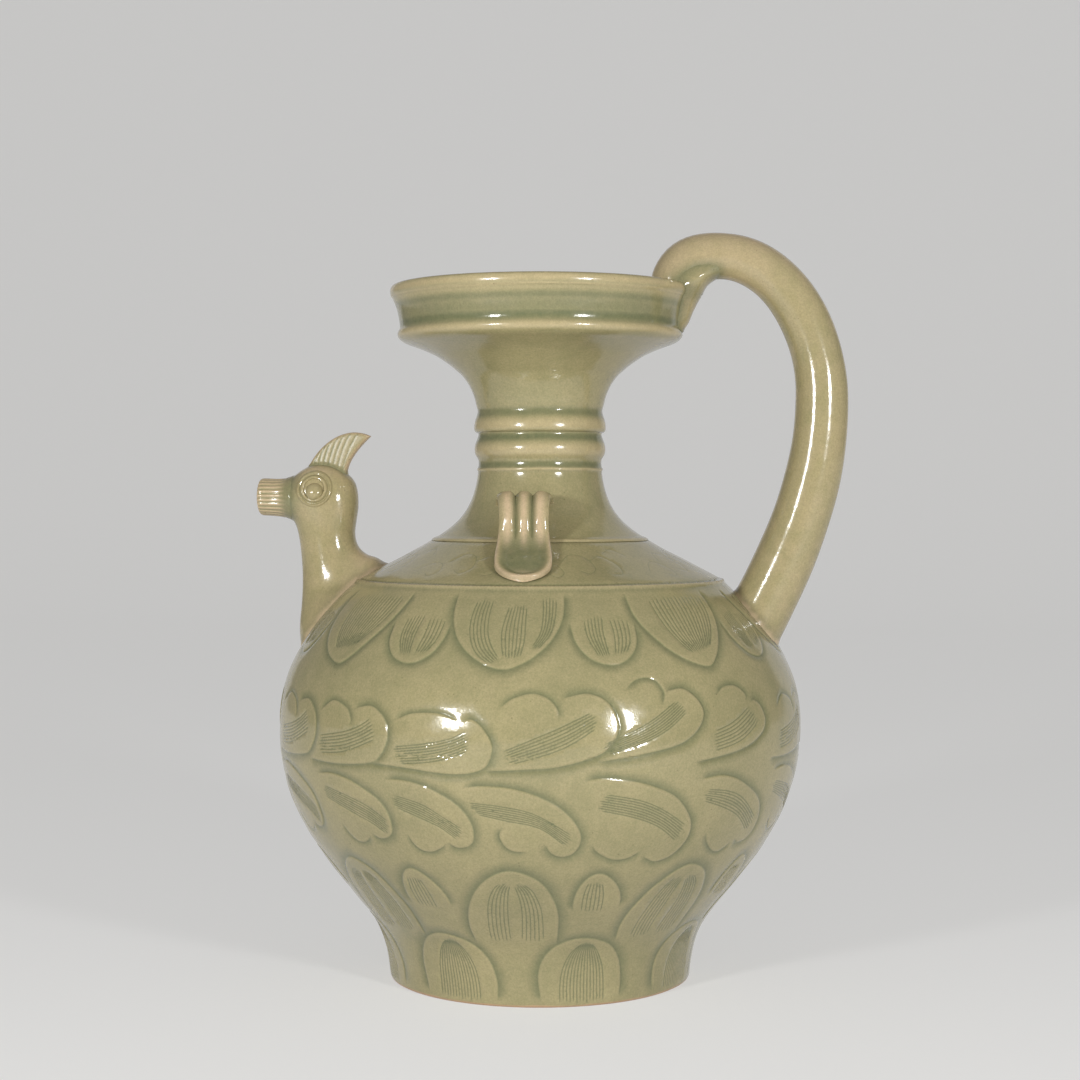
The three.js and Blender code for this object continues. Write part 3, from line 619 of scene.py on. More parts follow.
def onMap(stroke, offset):
    # a stroke at its place on the whole map, moved sideways, away from its leaf
    spots = stroke["path"] + besideWay(stroke["way"]) * stroke.get("side", 1.0) * offset
    turns = stroke["turn"] + np.degrees(spots[:, 0] / stroke["radius"])
    return np.stack([((turns - seamTurn) % 360 + seamTurn - 360) * toMap, spots[:, 1]], 1)


def inField(line):
    # clear of the map's sides, its ends and the luting seam
    x, run = line.T
    return ((x > mapLeft + net["clearSide"]) & (x < mapRight - net["clearSide"]) & (run > net["clearEnd"])
            & (run < bodyRun - net["clearEnd"]) & (np.abs(run - seamRun) > net["clearSeam"]))


def layNet(cuts, combs):
    # all points of the map, and the edges that have to stay: sides, rims, seam and strokes
    fixed, edges, joins = [], [], []

    def addChain(chain, linked=True):
        base = sum(map(len, fixed))
        fixed.append(chain)
        held = np.nonzero(np.broadcast_to(linked, max(len(chain) - 1, 0)))[0]
        edges.extend((base + i, base + i + 1) for i in held.tolist())
        return base

    side = np.linspace(0, bodyRun, net["sides"])
    side = np.sort(np.append(side[np.abs(side - seamRun) > net["sideSeam"]], [seamRun]))
    for across in (mapLeft, mapRight):
        addChain(np.stack([np.full(len(side), across), side], 1))
    for run, step in ((0, net["end"]), (bodyRun, net["end"]), (seamRun, net["seam"])):
        chain = mapRow(run, step)
        base = addChain(chain)
        row = int(np.argmin(np.abs(side - run)))
        joins += [(row, base), (base + len(chain) - 1, len(side) + row)]
    edges.extend(joins)

    free = [mapRow(seamRun + offset, net["besideSeam"]) for offset in net["seamOffsets"]]
    free += [mapRow(ringRun + offset, net["ring"]) for offset in net["ringOffsets"]]
    for stroke in cuts:
        slope = [stroke["slope"] * share for share in net["slopeShares"]]
        free += [onMap(stroke, offset) for offset in (*net["nearCut"], *slope, net["onFace"])]
    for stroke in combs:
        free += [onMap(stroke, offset) for offset in (-tool["toothHalf"], tool["toothHalf"])]
    free = np.vstack(free)
    free = free[inField(free)]

    chains = [onMap(stroke, offset) for stroke in cuts for offset in (-tool["lipIn"], tool["lipOut"])]
    chains += [onMap(stroke, 0) for stroke in combs]
    taken = {}
    for chain in chains:
        marks = np.nonzero(inField(chain))[0]
        marks = marks[sparse(chain[marks], taken, net["strokeGap"])]
        chain = chain[marks]
        sides = chain[:, 1] - seamRun
        addChain(chain, (np.diff(marks) < 3) & (np.abs(np.diff(chain[:, 0])) < net["longest"])
                 & (sides[:-1] * sides[1:] > 0))
    free = free[sparse(free, taken, net["freeGap"])]

    filler = []
    low, high = net["fillerEnds"]
    for index, run in enumerate(np.arange(low, bodyRun - high, net["fillerRise"])):
        line = mapRow(run, net["filler"])
        line[:, 0] += (index % 2) * net["filler"] / 2
        filler.append(line)
    filler = np.vstack(filler)
    filler = filler[(filler[:, 0] < mapRight - high) & (np.abs(filler[:, 1] - seamRun) > net["fillerSeam"])]
    filler = filler[sparse(filler, taken, net["fillerGap"])]
    return np.vstack(fixed + [free, filler]), edges


def sewSides(spots, faces):
    # the two sides of the map are one line on the body
    ends = []
    for side in (mapLeft, mapRight):
        found = np.nonzero(np.abs(spots[:, 0] - side) < 1e-4)[0]
        ends.append(found[spots[found, 1].argsort()])
    target = np.arange(len(spots))
    target[ends[1]] = ends[0]
    return target[faces]


def carveBody():
    cuts, combs = drawOrnament()
    for strokes, step in ((cuts, tool["cutStep"]), (combs, tool["combStep"])):
        for stroke in strokes:
            layOut(stroke, step)
    points, edges = layNet(cuts, combs)
    result = delaunay_2d_cdt([Vector(point) for point in points.tolist()], edges, [], 0, 1e-5, False)
    spots = np.array([(v.x, v.y) for v in result[0]])
    faces = np.array([face for face in result[2] if len(face) == 3])
    a, b, c = (spots[corner] for corner in faces.T)
    area = (b[:, 0] - a[:, 0]) * (c[:, 1] - a[:, 1]) - (b[:, 1] - a[:, 1]) * (c[:, 0] - a[:, 0])
    faces = sewSides(spots, faces)
    faces[area < 0] = faces[area < 0][:, ::-1]
    turns, runs = spots[:, 0] / toMap, spots[:, 1]
    depth, pool, thin = carve(turns, runs, cuts + combs)
    # the raised ring of the shoulder, with a groove over it
    ring = runs - ringRun
    depth -= (thrown["ringRise"] * swell(ring, 0, thrown["ringHalf"])
              - thrown["ringGroove"] * swell(ring, thrown["grooveUp"], thrown["grooveHalf"]))
    for layer, bands in ((thin, thrown["ringThins"]), (pool, thrown["ringPools"])):
        for strength, place, half in bands:
            layer[:] = np.maximum(layer, strength * swell(ring, place, half))
    # the wall sways a little, as the wheel left it
    angle = np.radians(turns)
    sway = (np.sin(3 * angle + runs * 0.031) * np.sin(runs * 0.11 + 2 * angle)
            + 0.6 * np.sin(runs * 0.33 + np.sin(angle) * 1.4))
    calm = easeIn(0, thrown["swayEnds"], runs) * easeIn(0, thrown["swayEnds"], bodyRun - runs)
    depth += (0.03 + thrown["sway"] * (1 + sway)) * calm
    laid = bodyPlace(turns, runs, depth)
    upper = runs[faces].mean(1) > seamRun
    print("carved", len(spots), "points,", len(faces), "faces,", len(cuts), "cuts,", len(combs), "comb lines")
    return laid, faces, upper, pool, thin


def meshFrom(name, spots, faces):
    mesh = bpy.data.meshes.new(name)
    mesh.from_pydata((np.asarray(spots) * mm).tolist(), [], [list(map(int, face)) for face in faces])
    piece = bpy.data.objects.new(name, mesh)
    bpy.context.collection.objects.link(piece)
    return piece


def innerShell(low, high, floor):
    # the potter's inside, one wall in from the outer line, turned inside out
    inner = profile - thrown["wall"] * besideWay(profileWay)
    heights = np.linspace(low, high, thrown["insideRows"])
    radii = np.interp(heights, inner[:, 1], inner[:, 0])
    sides = thrown["insideSides"]
    angle = np.arange(sides) / sides * 2 * math.pi
    spots = [(r * math.sin(t), -r * math.cos(t), h) for r, h in zip(radii, heights) for t in angle]
    faces = []
    for row in range(len(heights) - 1):
        for i in range(sides):
            j = (i + 1) % sides
            a, b = row * sides, (row + 1) * sides
            faces.append((a + i, b + i, b + j, a + j))
    if floor:
        faces.append(tuple(range(sides)))
    return meshFrom("inside", spots, faces)


def closeWall(outer, inner, *heights):
    # joins the inside to the outside and bridges the wall at these heights
    pickUp(inner)
    outer.select_set(True)
    bpy.context.view_layer.objects.active = outer
    bpy.ops.object.join()
    for height in heights:
        selectOpenEdges()
        bpy.ops.object.mode_set(mode="OBJECT")
        spots = places(outer) / mm
        for edge in outer.data.edges:
            if edge.select:
                edge.select = all(abs(spots[v][2] - height) < 0.05 for v in edge.vertices)
        bpy.ops.object.mode_set(mode="EDIT")
        bpy.ops.mesh.bridge_edge_loops()
        bpy.ops.object.mode_set(mode="OBJECT")


def closeFoot(piece):
    # rounds the foot's edge under and closes the flat base
    pickUp(piece)
    selectOpenEdges()
    radius = thrown["foot"][0]
    for inward, down in thrown["footRound"]:
        bpy.ops.mesh.extrude_region_move(TRANSFORM_OT_translate={"value": (0, 0, -down * mm)})
        scale = 1 - inward / radius
        radius -= inward
        bpy.ops.transform.resize(value=(scale, scale, 1), center_override=(0, 0, 0))
    bpy.ops.mesh.edge_face_add()
    bpy.ops.object.mode_set(mode="OBJECT")


def makeBody():
    spots, faces, upper, pool, thin = carveBody()
    made = []
    for name, mine in (("lower_body_carved", ~upper), ("upper_body_carved", upper)):
        used = np.unique(faces[mine])
        renumber = np.full(len(spots), -1)
        renumber[used] = np.arange(len(used))
        piece = meshFrom(name, spots[used], renumber[faces[mine]])
        paint(piece, "pool", pool[used])
        paint(piece, "thin", thin[used])
        made.append(piece)
    lower, top = made
    bellyHeight, seatHeight = thrown["belly"][1], thrown["seat"][1]
    closeWall(lower, innerShell(thrown["base"], bellyHeight, True), bellyHeight)
    closeWall(top, innerShell(bellyHeight, seatHeight, False), bellyHeight, seatHeight)
    closeFoot(lower)
    for piece in made:
        smoothOver(piece, 60)
    return made


lowerBody, upperBody = makeBody()
print("body carved")


# thrown neck and dish mouth, as (radius, height) in mm

neckShape = {
    "flare": [(0.49, 0.21), (0.89, 0.4)], "shaft": (27.6, 222.6),
    "ribs": [(27.62, 223.7), (27.95, 224.3), (28.0, 224.7), (27.6, 225.3), (27.3, 226.4), (27.25, 227.8),
             (27.45, 228.9), (28.1, 230.0), (28.75, 231.3), (29.05, 232.9), (29.0, 234.6), (28.6, 236.3),
             (28.0, 237.8), (27.55, 239), (27.35, 239.9), (27.5, 240.6), (28.5, 241.0), (29.1, 241.8),
             (29.25, 243), (29.1, 244.8), (28.7, 246.6), (28.1, 248.3), (27.75, 249.6), (27.7, 250.6),
             (27.95, 251.7), (28.4, 253.2)],
    "inside": [(28.9, 268.02), (27.1, 265), (24.3, 260), (24, 255), (23.8, 250), (23.3, 240), (22.8, 230),
               (22.6, 224), (23.8, 220), (25.3, 215), (26.9, 210), (28.4, 205), (32.8, 200), (36.5, 196),
               (39.2, 193.2)],
    "seatRidge": 0.55, "ridgeUp": 0.8, "ridgeHalf": 0.6, "sides": 144,
    "ridgeOutside": 40, "bandsFrom": 26.5,   # they are on the outer side of these radii
    # bands of glaze: height, half width, strength
    "gathers": [(249.4, 1.9, 0.8), (238.6, 1.9, 1.0), (226.5, 1.5, 0.9)],
    "thins": [(243.9, 2.5, 0.8), (232.8, 2.7, 0.8), (224.5, 0.45, 0.9), (193.9, 0.5, 0.9)],
}
dishShape = {
    "seam": (36.6, 268.02), "bandsFrom": 60.8, "sides": 176,
    "under": [(28.4, 253.2), (28.9, 255.4), (29.6, 257.6), (30.5, 259.8), (31.6, 262), (33.1, 264.3),
              (34.9, 266.5), (36.6, 268.02)],
    "outside": [(36.6, 268.02), (39.8, 270.7), (42.9, 272.9), (46.4, 275.1), (51.1, 277.3), (56, 279.2),
                (59.8, 280.6), (61.9, 281.9), (62.95, 283.2), (63.15, 284.4), (62.85, 285.5), (62.25, 286.4),
                (62.1, 287.8), (62.3, 289.6), (62.7, 292), (63.2, 294.4), (63.9, 296.7), (64.7, 298.6),
                (65.1, 299.6), (65.35, 300.2), (65.95, 300.8), (66.3, 301.8), (66.4, 303), (66.2, 304.2),
                (65.7, 305.1), (64.9, 305.62), (63.9, 305.7)],
    "inside": [(63.9, 305.7), (62.5, 305.5), (61.2, 304.9), (60.4, 304), (59.8, 302.6), (59.1, 300),
               (58.4, 297.4), (57.8, 295), (57.4, 292.6), (57.1, 290), (56.9, 288.2), (56, 286), (54, 284.3),
               (51.5, 283), (48, 281.4), (44.8, 280), (40.9, 278), (36.2, 275), (32.7, 272), (30.6, 270),
               (28.9, 268.02)],
    "gathers": [(296.3, 1.5, 0.7), (288.4, 2.1, 1.0), (292, 3.8, 0.55)],
    "thins": [(303.4, 1.6, 0.9), (300.7, 0.35, 0.9), (299.4, 0.8, 0.35), (283.9, 1.6, 0.85)],
}


def turnOnWheel(name, line, sides):
    # draws the profile by extruding one point, then spins it round the axis
    clearBench()
    bpy.ops.mesh.primitive_plane_add(size=mm)
    bpy.ops.object.mode_set(mode="EDIT")
    bpy.ops.mesh.select_mode(type="VERT")
    bpy.ops.mesh.select_all(action="SELECT")
    bpy.ops.mesh.merge(type="CENTER")
    last = (0.0, 0.0)
    for index, (radius, height) in enumerate(line):
        step = (0, -(radius - last[0]) * mm, (height - last[1]) * mm)
        if index == 0:
            bpy.ops.transform.translate(value=step)
        else:
            bpy.ops.mesh.extrude_vertices_move(TRANSFORM_OT_translate={"value": step})
        last = (radius, height)
    bpy.ops.mesh.select_all(action="SELECT")
    bpy.ops.mesh.spin(steps=sides, angle=2 * math.pi, center=(0, 0, 0), axis=(0, 0, 1))
    bpy.ops.mesh.select_all(action="SELECT")
    bpy.ops.mesh.remove_doubles(threshold=2e-6)
    bpy.ops.mesh.normals_make_consistent(inside=False)
    made = setDown(name)
    print(name, len(made.data.vertices), "points", len(made.data.polygons), "faces")
    return made


def bandGlaze(piece, shape):
    # bands where the glaze gathered or ran thin, with edges that waver a little round the piece
    spots = places(piece) / mm
    angle = np.arctan2(spots[:, 0], -spots[:, 1])
    waver = 0.22 * np.sin(3 * angle + 0.7) + 0.12 * np.sin(8 * angle) + 0.06 * np.sin(21 * angle)
    outer = easeIn(shape["bandsFrom"] - 1.2, shape["bandsFrom"], np.hypot(spots[:, 0], spots[:, 1]))
    for name, bands in (("pool", shape["gathers"]), ("thin", shape["thins"])):
        level = np.zeros(len(spots))
        for height, width, strength in bands:
            away = np.abs(spots[:, 2] - height - waver * 0.6) / width
            level = np.maximum(level, strength * np.exp(-away ** 3))
        paint(piece, name, level * outer)


def dishWall():
    # one smooth line from the neck to the lip, parted at the luting seam
    line = easeLine(dishShape["under"] + dishShape["outside"][1:], 0.7)
    part = int(np.argmin(np.abs(line[:, 1] - dishShape["seam"][1])))
    line[part] = dishShape["seam"]
    return line[:part + 1], line[part:]


def makeNeck():
    flare = bendLine(thrown["seat"], neckShape["shaft"], neckShape["flare"], 34)
    ribs = easeLine([neckShape["shaft"]] + neckShape["ribs"], 0.55)
    inside = easeLine(neckShape["inside"], 3)
    line = np.vstack([flare[:-1], ribs[:-1], dishWall()[0], inside, flare[:1]])
    piece = turnOnWheel("neck_thrown", line, neckShape["sides"])
    spots = places(piece)
    low = spots[:, 2] / mm - thrown["seat"][1]
    outer = np.hypot(spots[:, 0], spots[:, 1]) / mm > neckShape["ridgeOutside"]
    lift = neckShape["seatRidge"] * swell(low, neckShape["ridgeUp"], neckShape["ridgeHalf"]) * outer
    spots[:, :2] *= (1 + lift / thrown["seat"][0])[:, None]
    spots[:, 2] += lift * 0.6 * mm
    putPlaces(piece, spots)
    bandGlaze(piece, neckShape)
    smoothOver(piece, 50)
    return piece


def makeDish():
    outside = dishWall()[1]
    inside = easeLine(dishShape["inside"], 1.2)
    line = np.vstack([outside[:-1], inside, outside[:1]])
    piece = turnOnWheel("dish_mouth_thrown", line, dishShape["sides"])
    bandGlaze(piece, dishShape)
    smoothOver(piece, 35)
    return piece


neckPiece = makeNeck()
dishPiece = makeDish()
print("neck and dish thrown")


# rolled and drawn-out pieces

def turnSelected(lean, middle):
    # leans the selected ring about Y
    if abs(lean) > 1e-6:
        bpy.ops.transform.rotate(value=math.radians(lean) * turnSign, orient_axis="Y", center_override=middle)


def drawOut(name, outline, stations, closed=True):
    # the outline is (side, front) pairs; each station is its middle (reach, height), its lean
    # from upright in degrees, and how wide and deep the outline is there
    clearBench()
    bpy.ops.mesh.primitive_circle_add(vertices=len(outline), radius=mm, fill_type="NOTHING")
    piece = bpy.context.object
    first = stations[0]
    putPlaces(piece, [(front * first["deep"] * mm, side * first["wide"] * mm, 0) for side, front in outline])
    bpy.ops.object.mode_set(mode="EDIT")
    bpy.ops.mesh.select_all(action="SELECT")
    reach, height = first["at"]
    bpy.ops.transform.translate(value=(reach * mm, 0, height * mm))
    before = None
    for station in stations:
        reach, height = station["at"]
        middle = (reach * mm, 0, height * mm)
        if before:
            step = ((reach - before["at"][0]) * mm, 0, (height - before["at"][1]) * mm)
            scale = (station["deep"] / before["deep"], station["wide"] / before["wide"], 1)
            bpy.ops.mesh.extrude_region_move(TRANSFORM_OT_translate={"value": step})
            turnSelected(-before["lean"], middle)
            bpy.ops.transform.resize(value=scale, center_override=middle)
        turnSelected(station["lean"], middle)
        before = station
    if closed:
        bpy.ops.mesh.edge_face_add()
        bpy.ops.mesh.select_all(action="DESELECT")
        bpy.ops.object.mode_set(mode="OBJECT")
        for vertex in piece.data.vertices[:len(outline)]:
            vertex.select = True
        bpy.ops.object.mode_set(mode="EDIT")
        bpy.ops.mesh.select_mode(type="VERT")
        bpy.ops.mesh.edge_face_add()
    bpy.ops.mesh.select_all(action="SELECT")
    bpy.ops.mesh.normals_make_consistent(inside=False)
    return setDown(name)


def between(rows, count):
    # a smooth run of rows through the given ones, evenly by their number
    rows = np.array(rows, float)
    around = padded(rows)
    made = []
    for spot in np.linspace(0, len(rows) - 1, count):
        i = min(int(spot), len(rows) - 2)
        made.append(curveFrom(*around[i:i + 4], spot - i))
    return np.array(made)


def roundOutline(count, square=2.0):
    # a circle, or a squarer round for a larger power
    turns = np.arange(count) / count * 2 * math.pi
    side, front = np.sin(turns), np.cos(turns)
    stretch = (np.abs(side) ** square + np.abs(front) ** square) ** (-1 / square)
    return list(zip(side * stretch, front * stretch))


def leansAt(line, shares, count):
    # how far the line leans from upright at these shares of its length, in degrees
    even = np.linspace(0, 1, count)
    way = np.gradient(lengthShares(line, even), axis=0)
    return np.interp(shares, even, np.unwrap(np.degrees(np.arctan2(way[:, 0], way[:, 1])), period=360))


def surfaceOf(*pieces):
    # one search tree over several finished pieces, in mm
    spots, faces, base = [], [], 0
    for piece in pieces:
        own = places(piece) / mm
        spots.extend(Vector(p) for p in own.tolist())
        faces.extend(tuple(base + v for v in face.vertices) for face in piece.data.polygons)
        base += len(own)
    return BVHTree.FromPolygons(spots, faces)


def heightOver(tree, spots, reach):
    # each place's signed distance from a surface and the surface's normal there, up to a reach
    gaps = np.full(len(spots), float(reach))
    aways = np.zeros((len(spots), 3))
    for index, spot in enumerate(spots):
        found, normal, face, distance = tree.find_nearest(Vector(spot), reach)
        if found is not None:
            side = 1.0 if (Vector(spot) - found).dot(normal) >= 0 else -1.0
            gaps[index] = side * distance
            aways[index] = normal
    return gaps, aways


def meltOnto(piece, tree, reach, amount):
    # lets the clay and the glaze flow out where a piece meets what carries it
    spots = places(piece) / mm
    normals = normalsOf(piece)
    gaps, aways = heightOver(tree, spots, reach)
    near = np.clip(1 - np.maximum(gaps, 0) / reach, 0, 1) ** 2
    flat = normals - aways * (normals * aways).sum(1)[:, None]
    size = np.maximum(np.linalg.norm(flat, axis=1), 0.3)[:, None]
    putPlaces(piece, (spots + flat / size * (amount * near)[:, None]) * mm)


def trimInside(piece):
    # cuts away what would stand inside the vessel's wall
    finishWith(piece, "BOOLEAN", operation="DIFFERENCE", solver="EXACT", object=vesselCore)


core = {"inset": 2.6, "every": 12, "throat": (24, 226), "axis": 0.01}   # a plain solid inside the wall
coreLine = (profile - core["inset"] * besideWay(profileWay))[::core["every"]]
coreLine = np.vstack([[(core["axis"], coreLine[0][1])], coreLine,
                      [core["throat"], (core["axis"], core["throat"][1])]])
vesselCore = turnOnWheel("vessel_core", coreLine, 96)
vesselTree = surfaceOf(lowerBody, upperBody, neckPiece, dishPiece)


# the handle and its jaw, as (reach, height) in mm

coil = {
    "bite": (60.6, 297), "crown": (79, 318.1), "outermost": (124.2, 256.4), "root": (90, 149),
    "biteBend": [(-0.087, 0.67), (0.1, 1.02)], "crownBend": [(0.6, 0), (1, 0.53)],
    "longBend": [(0, 0.21), (0.1, 0.5)],
    "dome": 0.021,   # the share of the coil that its round end takes up
    "domeShares": (0.0003, 0.0013, 0.0034, 0.0065, 0.011, 0.017, 0.024, 0.031, 0.038, 0.045),
    "thickness": [(0, 10.9), (0.05, 11.3), (0.11, 10.55), (0.17, 10.1), (0.3, 10.75), (0.5, 11.4), (1, 14)],
    "waver": 0.006, "waves": 40, "melt": (2.4, 0.9),   # how far off it melts on, and by how much
    "thin": 0.3, "crownLightUp": (288, 316), "crownLightIn": (116, 96),   # painted light: the crown is painted paler with the thin-glaze colour, as if lit from above
}
jawShape = {   # height, how far out its outer edge reaches, half its width
    "rows": [(314, 86, 7.4), (311.6, 82.8, 9.1), (309.9, 80.0, 9.9), (308.4, 77.2, 10.8), (306, 74.9, 10.9),
             (303.8, 73.1, 10.4), (301, 71.6, 9.6), (298.7, 70.3, 8.8), (296, 69.1, 8), (293.6, 67.9, 7.1),
             (291.1, 66.9, 6.6), (289.2, 66.1, 6.0), (287.4, 65.0, 5.2), (285.9, 63.7, 4.0)],
    "inside": 57.5, "melt": (2.6, 1.5), "handleMelt": (3.0, 1.6),
}


def makeHandle():
    line = bendThrough(coil, ("bite", "crown", "outermost", "root"),
                       ("biteBend", "crownBend", "longBend"), 60)
    shares = np.concatenate([coil["domeShares"], np.linspace(0.053, 1, 60)])
    stations = []
    for share, spot, lean in zip(shares, lengthShares(line, shares), leansAt(line, shares, 400)):
        dome = math.sqrt(1 - (1 - min(share / coil["dome"], 1)) ** 2)
        waver = 1 + coil["waver"] * math.sin(share * coil["waves"])
        radius = float(np.interp(share, *zip(*coil["thickness"])) * (dome * waver))
        stations.append({"at": tuple(spot), "lean": float(lean), "wide": radius, "deep": radius})
    piece = drawOut("handle_coil", roundOutline(36), stations)
    roundOff(piece)
    trimInside(piece)
    meltOnto(piece, vesselTree, *coil["melt"])
    reach, side, height = (places(piece) / mm).T
    # painted light: the coil's crown is painted paler, as if lit from above
    paint(piece, "thin", coil["thin"] * easeIn(*coil["crownLightUp"], height) * easeIn(*coil["crownLightIn"], reach))
    smoothOver(piece, 60)
    return piece


def makeJaw(handleTree):
    stations = []
    for height, outer, half in between(jawShape["rows"], 26):
        middle = (outer + jawShape["inside"]) / 2
        stations.append({"at": (middle, height), "lean": 0.0, "wide": half, "deep": outer - middle})
    piece = drawOut("handle_jaw_wedge", roundOutline(32, 2.5), stations)
    roundOff(piece)
    meltOnto(piece, vesselTree, *jawShape["melt"])
    meltOnto(piece, handleTree, *jawShape["handleMelt"])
    smoothOver(piece, 60)
    return piece


handlePiece = makeHandle()
jawPiece = makeJaw(surfaceOf(handlePiece))
print("handle and jaw rolled")


# the strap lugs, drawn to the side as (reach, height) in mm and then turned to the front

strap = {
    "root": (27, 205.5), "top": (42, 212.5), "knee": (51, 199.5), "tab": (78.6, 180.4),
    "rootBend": [(0.2, 0.75), (0.6, 1)], "topBend": [(0.6, 0), (1, 0.45)], "tabBend": [(0, 0.37), (0.3, 0.6)],
    "thick": 5.2, "topWidth": 26, "waistWidth": 21.2, "tabWidth": 24.2, "waistShare": 0.45, "roundShare": 0.8,
    "groove": 1.8, "grooveAt": 0.33, "grooveHalf": 0.1, "between": 0.28, "rimRound": 0.55, "ridgeAt": 0.64,
    "dish": 1.6, "dishRim": 5.2, "taper": 1.3, "melt": (2.2, 1.1),
    "skew": (-1.4, 2.9),   # how far the strap's top and its tab lie to the side of straight out
}


def strapHalf(share):
    # half the strap's width, from its root to its round end
    waist, top = strap["waistShare"], strap["topWidth"]
    if share < waist:
        return 0.5 * (top + (strap["waistWidth"] - top) * easeIn(0, waist, share))
    growth = (strap["tabWidth"] - strap["waistWidth"]) * easeIn(waist, 0.78, share)
    half = 0.5 * (strap["waistWidth"] + growth)
    return half * math.sqrt(max(1 - pastRound(share) ** 2.05, 0.003))


def pastRound(share):
    # how far into the round end of the tab, from 0 to 1
    return np.clip((share - strap["roundShare"]) / (1 - strap["roundShare"]), 0, 1)


def lossAt(share):
    # the tab runs thin to its end, with its inner face kept on the shoulder
    return strap["taper"] * easeIn(0.72, 1, share)


def pressStrap(piece, fine, out):
    # the fingers' grooves and the dished tab, pressed into the outer face
    own = places(piece) / mm
    flat = own[:, [0, 2]]
    nearest = ((flat[:, None] - fine[None]) ** 2).sum(2).argmin(1)
    lift = ((flat - fine[nearest]) * out[nearest]).sum(1)
    share = nearest / (len(fine) - 1)
    width = np.abs(own[:, 1] / np.array([strapHalf(s) for s in share]))
    grooves = (swell(width, strap["grooveAt"], strap["grooveHalf"]) * strap["groove"]
               + np.where(width < strap["grooveAt"], strap["between"], 0.0)
               + strap["rimRound"] * np.clip((width - 0.8) / 0.2, 0, 1) ** 2)
    fullHalf = np.array([strapHalf(min(s, strap["roundShare"])) for s in share])
    fromEdge = (1 - np.hypot(own[:, 1] / fullHalf, pastRound(share))) * fullHalf
    dish = strap["dish"] * easeIn(0.4, strap["dishRim"], fromEdge)
    ridged, spoon = 1 - easeIn(0.52, 0.72, share), easeIn(0.44, 0.68, share)
    facing = easeIn(0.2, 0.8, (lift + lossAt(share)) / (strap["thick"] / 2 - lossAt(share)))
    relief = np.maximum(grooves * ridged, dish * spoon) * facing
    own[:, [0, 2]] += -relief[:, None] * out[nearest]
    putPlaces(piece, own * mm)
    pool = np.maximum(swell(width, strap["grooveAt"], 0.13) * ridged,
                      0.95 * easeIn(0.7, 3.8, fromEdge) * spoon)
    ridges = np.maximum(swell(width, strap["ridgeAt"], 0.17), swell(width, 0, 0.13))
    rim = swell(np.maximum(fromEdge - 0.5, 0), 0, 0.9)
    paint(piece, "pool", pool * facing)
    paint(piece, "thin", np.maximum(ridges * ridged, rim * spoon) * 0.85)


def makeLugs():
    line = bendThrough(strap, ("root", "top", "knee", "tab"), ("rootBend", "topBend", "tabBend"), 40)
    roundShares = 0.8 + 0.2 * np.sin(np.linspace(0, math.pi / 2, 22)[1:])
    shares = np.concatenate([np.linspace(0, 0.8, 40), roundShares])
    fine = lengthShares(line, np.linspace(0, 1, 300))
    out = -besideWay(wayAlong(fine))      # towards the outer face
    stations = []
    for share, spot, lean in zip(shares, lengthShares(line, shares), leansAt(line, shares, 300)):
        middle = spot - out[round(share * (len(fine) - 1))] * lossAt(share)
        stations.append({"at": tuple(middle), "lean": float(lean), "wide": strapHalf(share),
                         "deep": strap["thick"] / 2 - lossAt(share)})
    piece = drawOut("lug_strap_front", roundOutline(40, 3.6), stations)
    roundOff(piece)
    pressStrap(piece, fine, out)
    # stands it to the front, and sets it on the neck and shoulder
    turnRound(piece, -90)
    spots = places(piece)
    topReach, tabReach = strap["top"][0] * mm, strap["tab"][0] * mm
    topSide, tabSide = (side * mm for side in strap["skew"])
    spots[:, 0] += topSide + (tabSide - topSide) * (-spots[:, 1] - topReach) / (tabReach - topReach)
    putPlaces(piece, spots)
    trimInside(piece)
    meltOnto(piece, vesselTree, *strap["melt"])
    smoothOver(piece, 60)
    # the lug behind is a copy, turned half round
    pickUp(piece)
    bpy.ops.object.duplicate()
    copy = bpy.context.object
    copy.name = copy.data.name = "lug_strap_behind"
    turnRound(copy, -180)
    return piece, copy


lugFront, lugBehind = makeLugs()
print("lugs pressed on")


# the chicken's neck and head, in mm

chicken = {
    "depth": 48, "beakRoot": 116.5, "face": -113.6, "low": 143.5, "high": 228, "headWidth": 25.6, "wall": 4.8,
    "beakLow": 203.2, "beakHigh": 220.6, "melt": (3.0, 1.3),
    "rows": [   # throat across and up, nape across and up, width, as shares
        (0.19, -0.07, 1.09, 0.4, 1.5), (0.152, 0.1, 0.915, 0.485, 1.2), (0.172, 0.245, 0.79, 0.51, 1.02),
        (0.182, 0.39, 0.705, 0.555, 0.95), (0.164, 0.54, 0.676, 0.62, 0.93), (0.137, 0.63, 0.69, 0.69, 0.94),
        (0.11, 0.672, 0.71, 0.78, 0.97), (0.093, 0.686, 0.685, 0.885, 1), (0.083, 0.692, 0.587, 0.948, 1),
        (0.077, 0.698, 0.45, 0.985, 0.98), (0.072, 0.702, 0.292, 0.988, 0.92),
        (0.067, 0.705, 0.19, 0.962, 0.83), (0.0635, 0.7065, 0.115, 0.933, 0.74)],
}


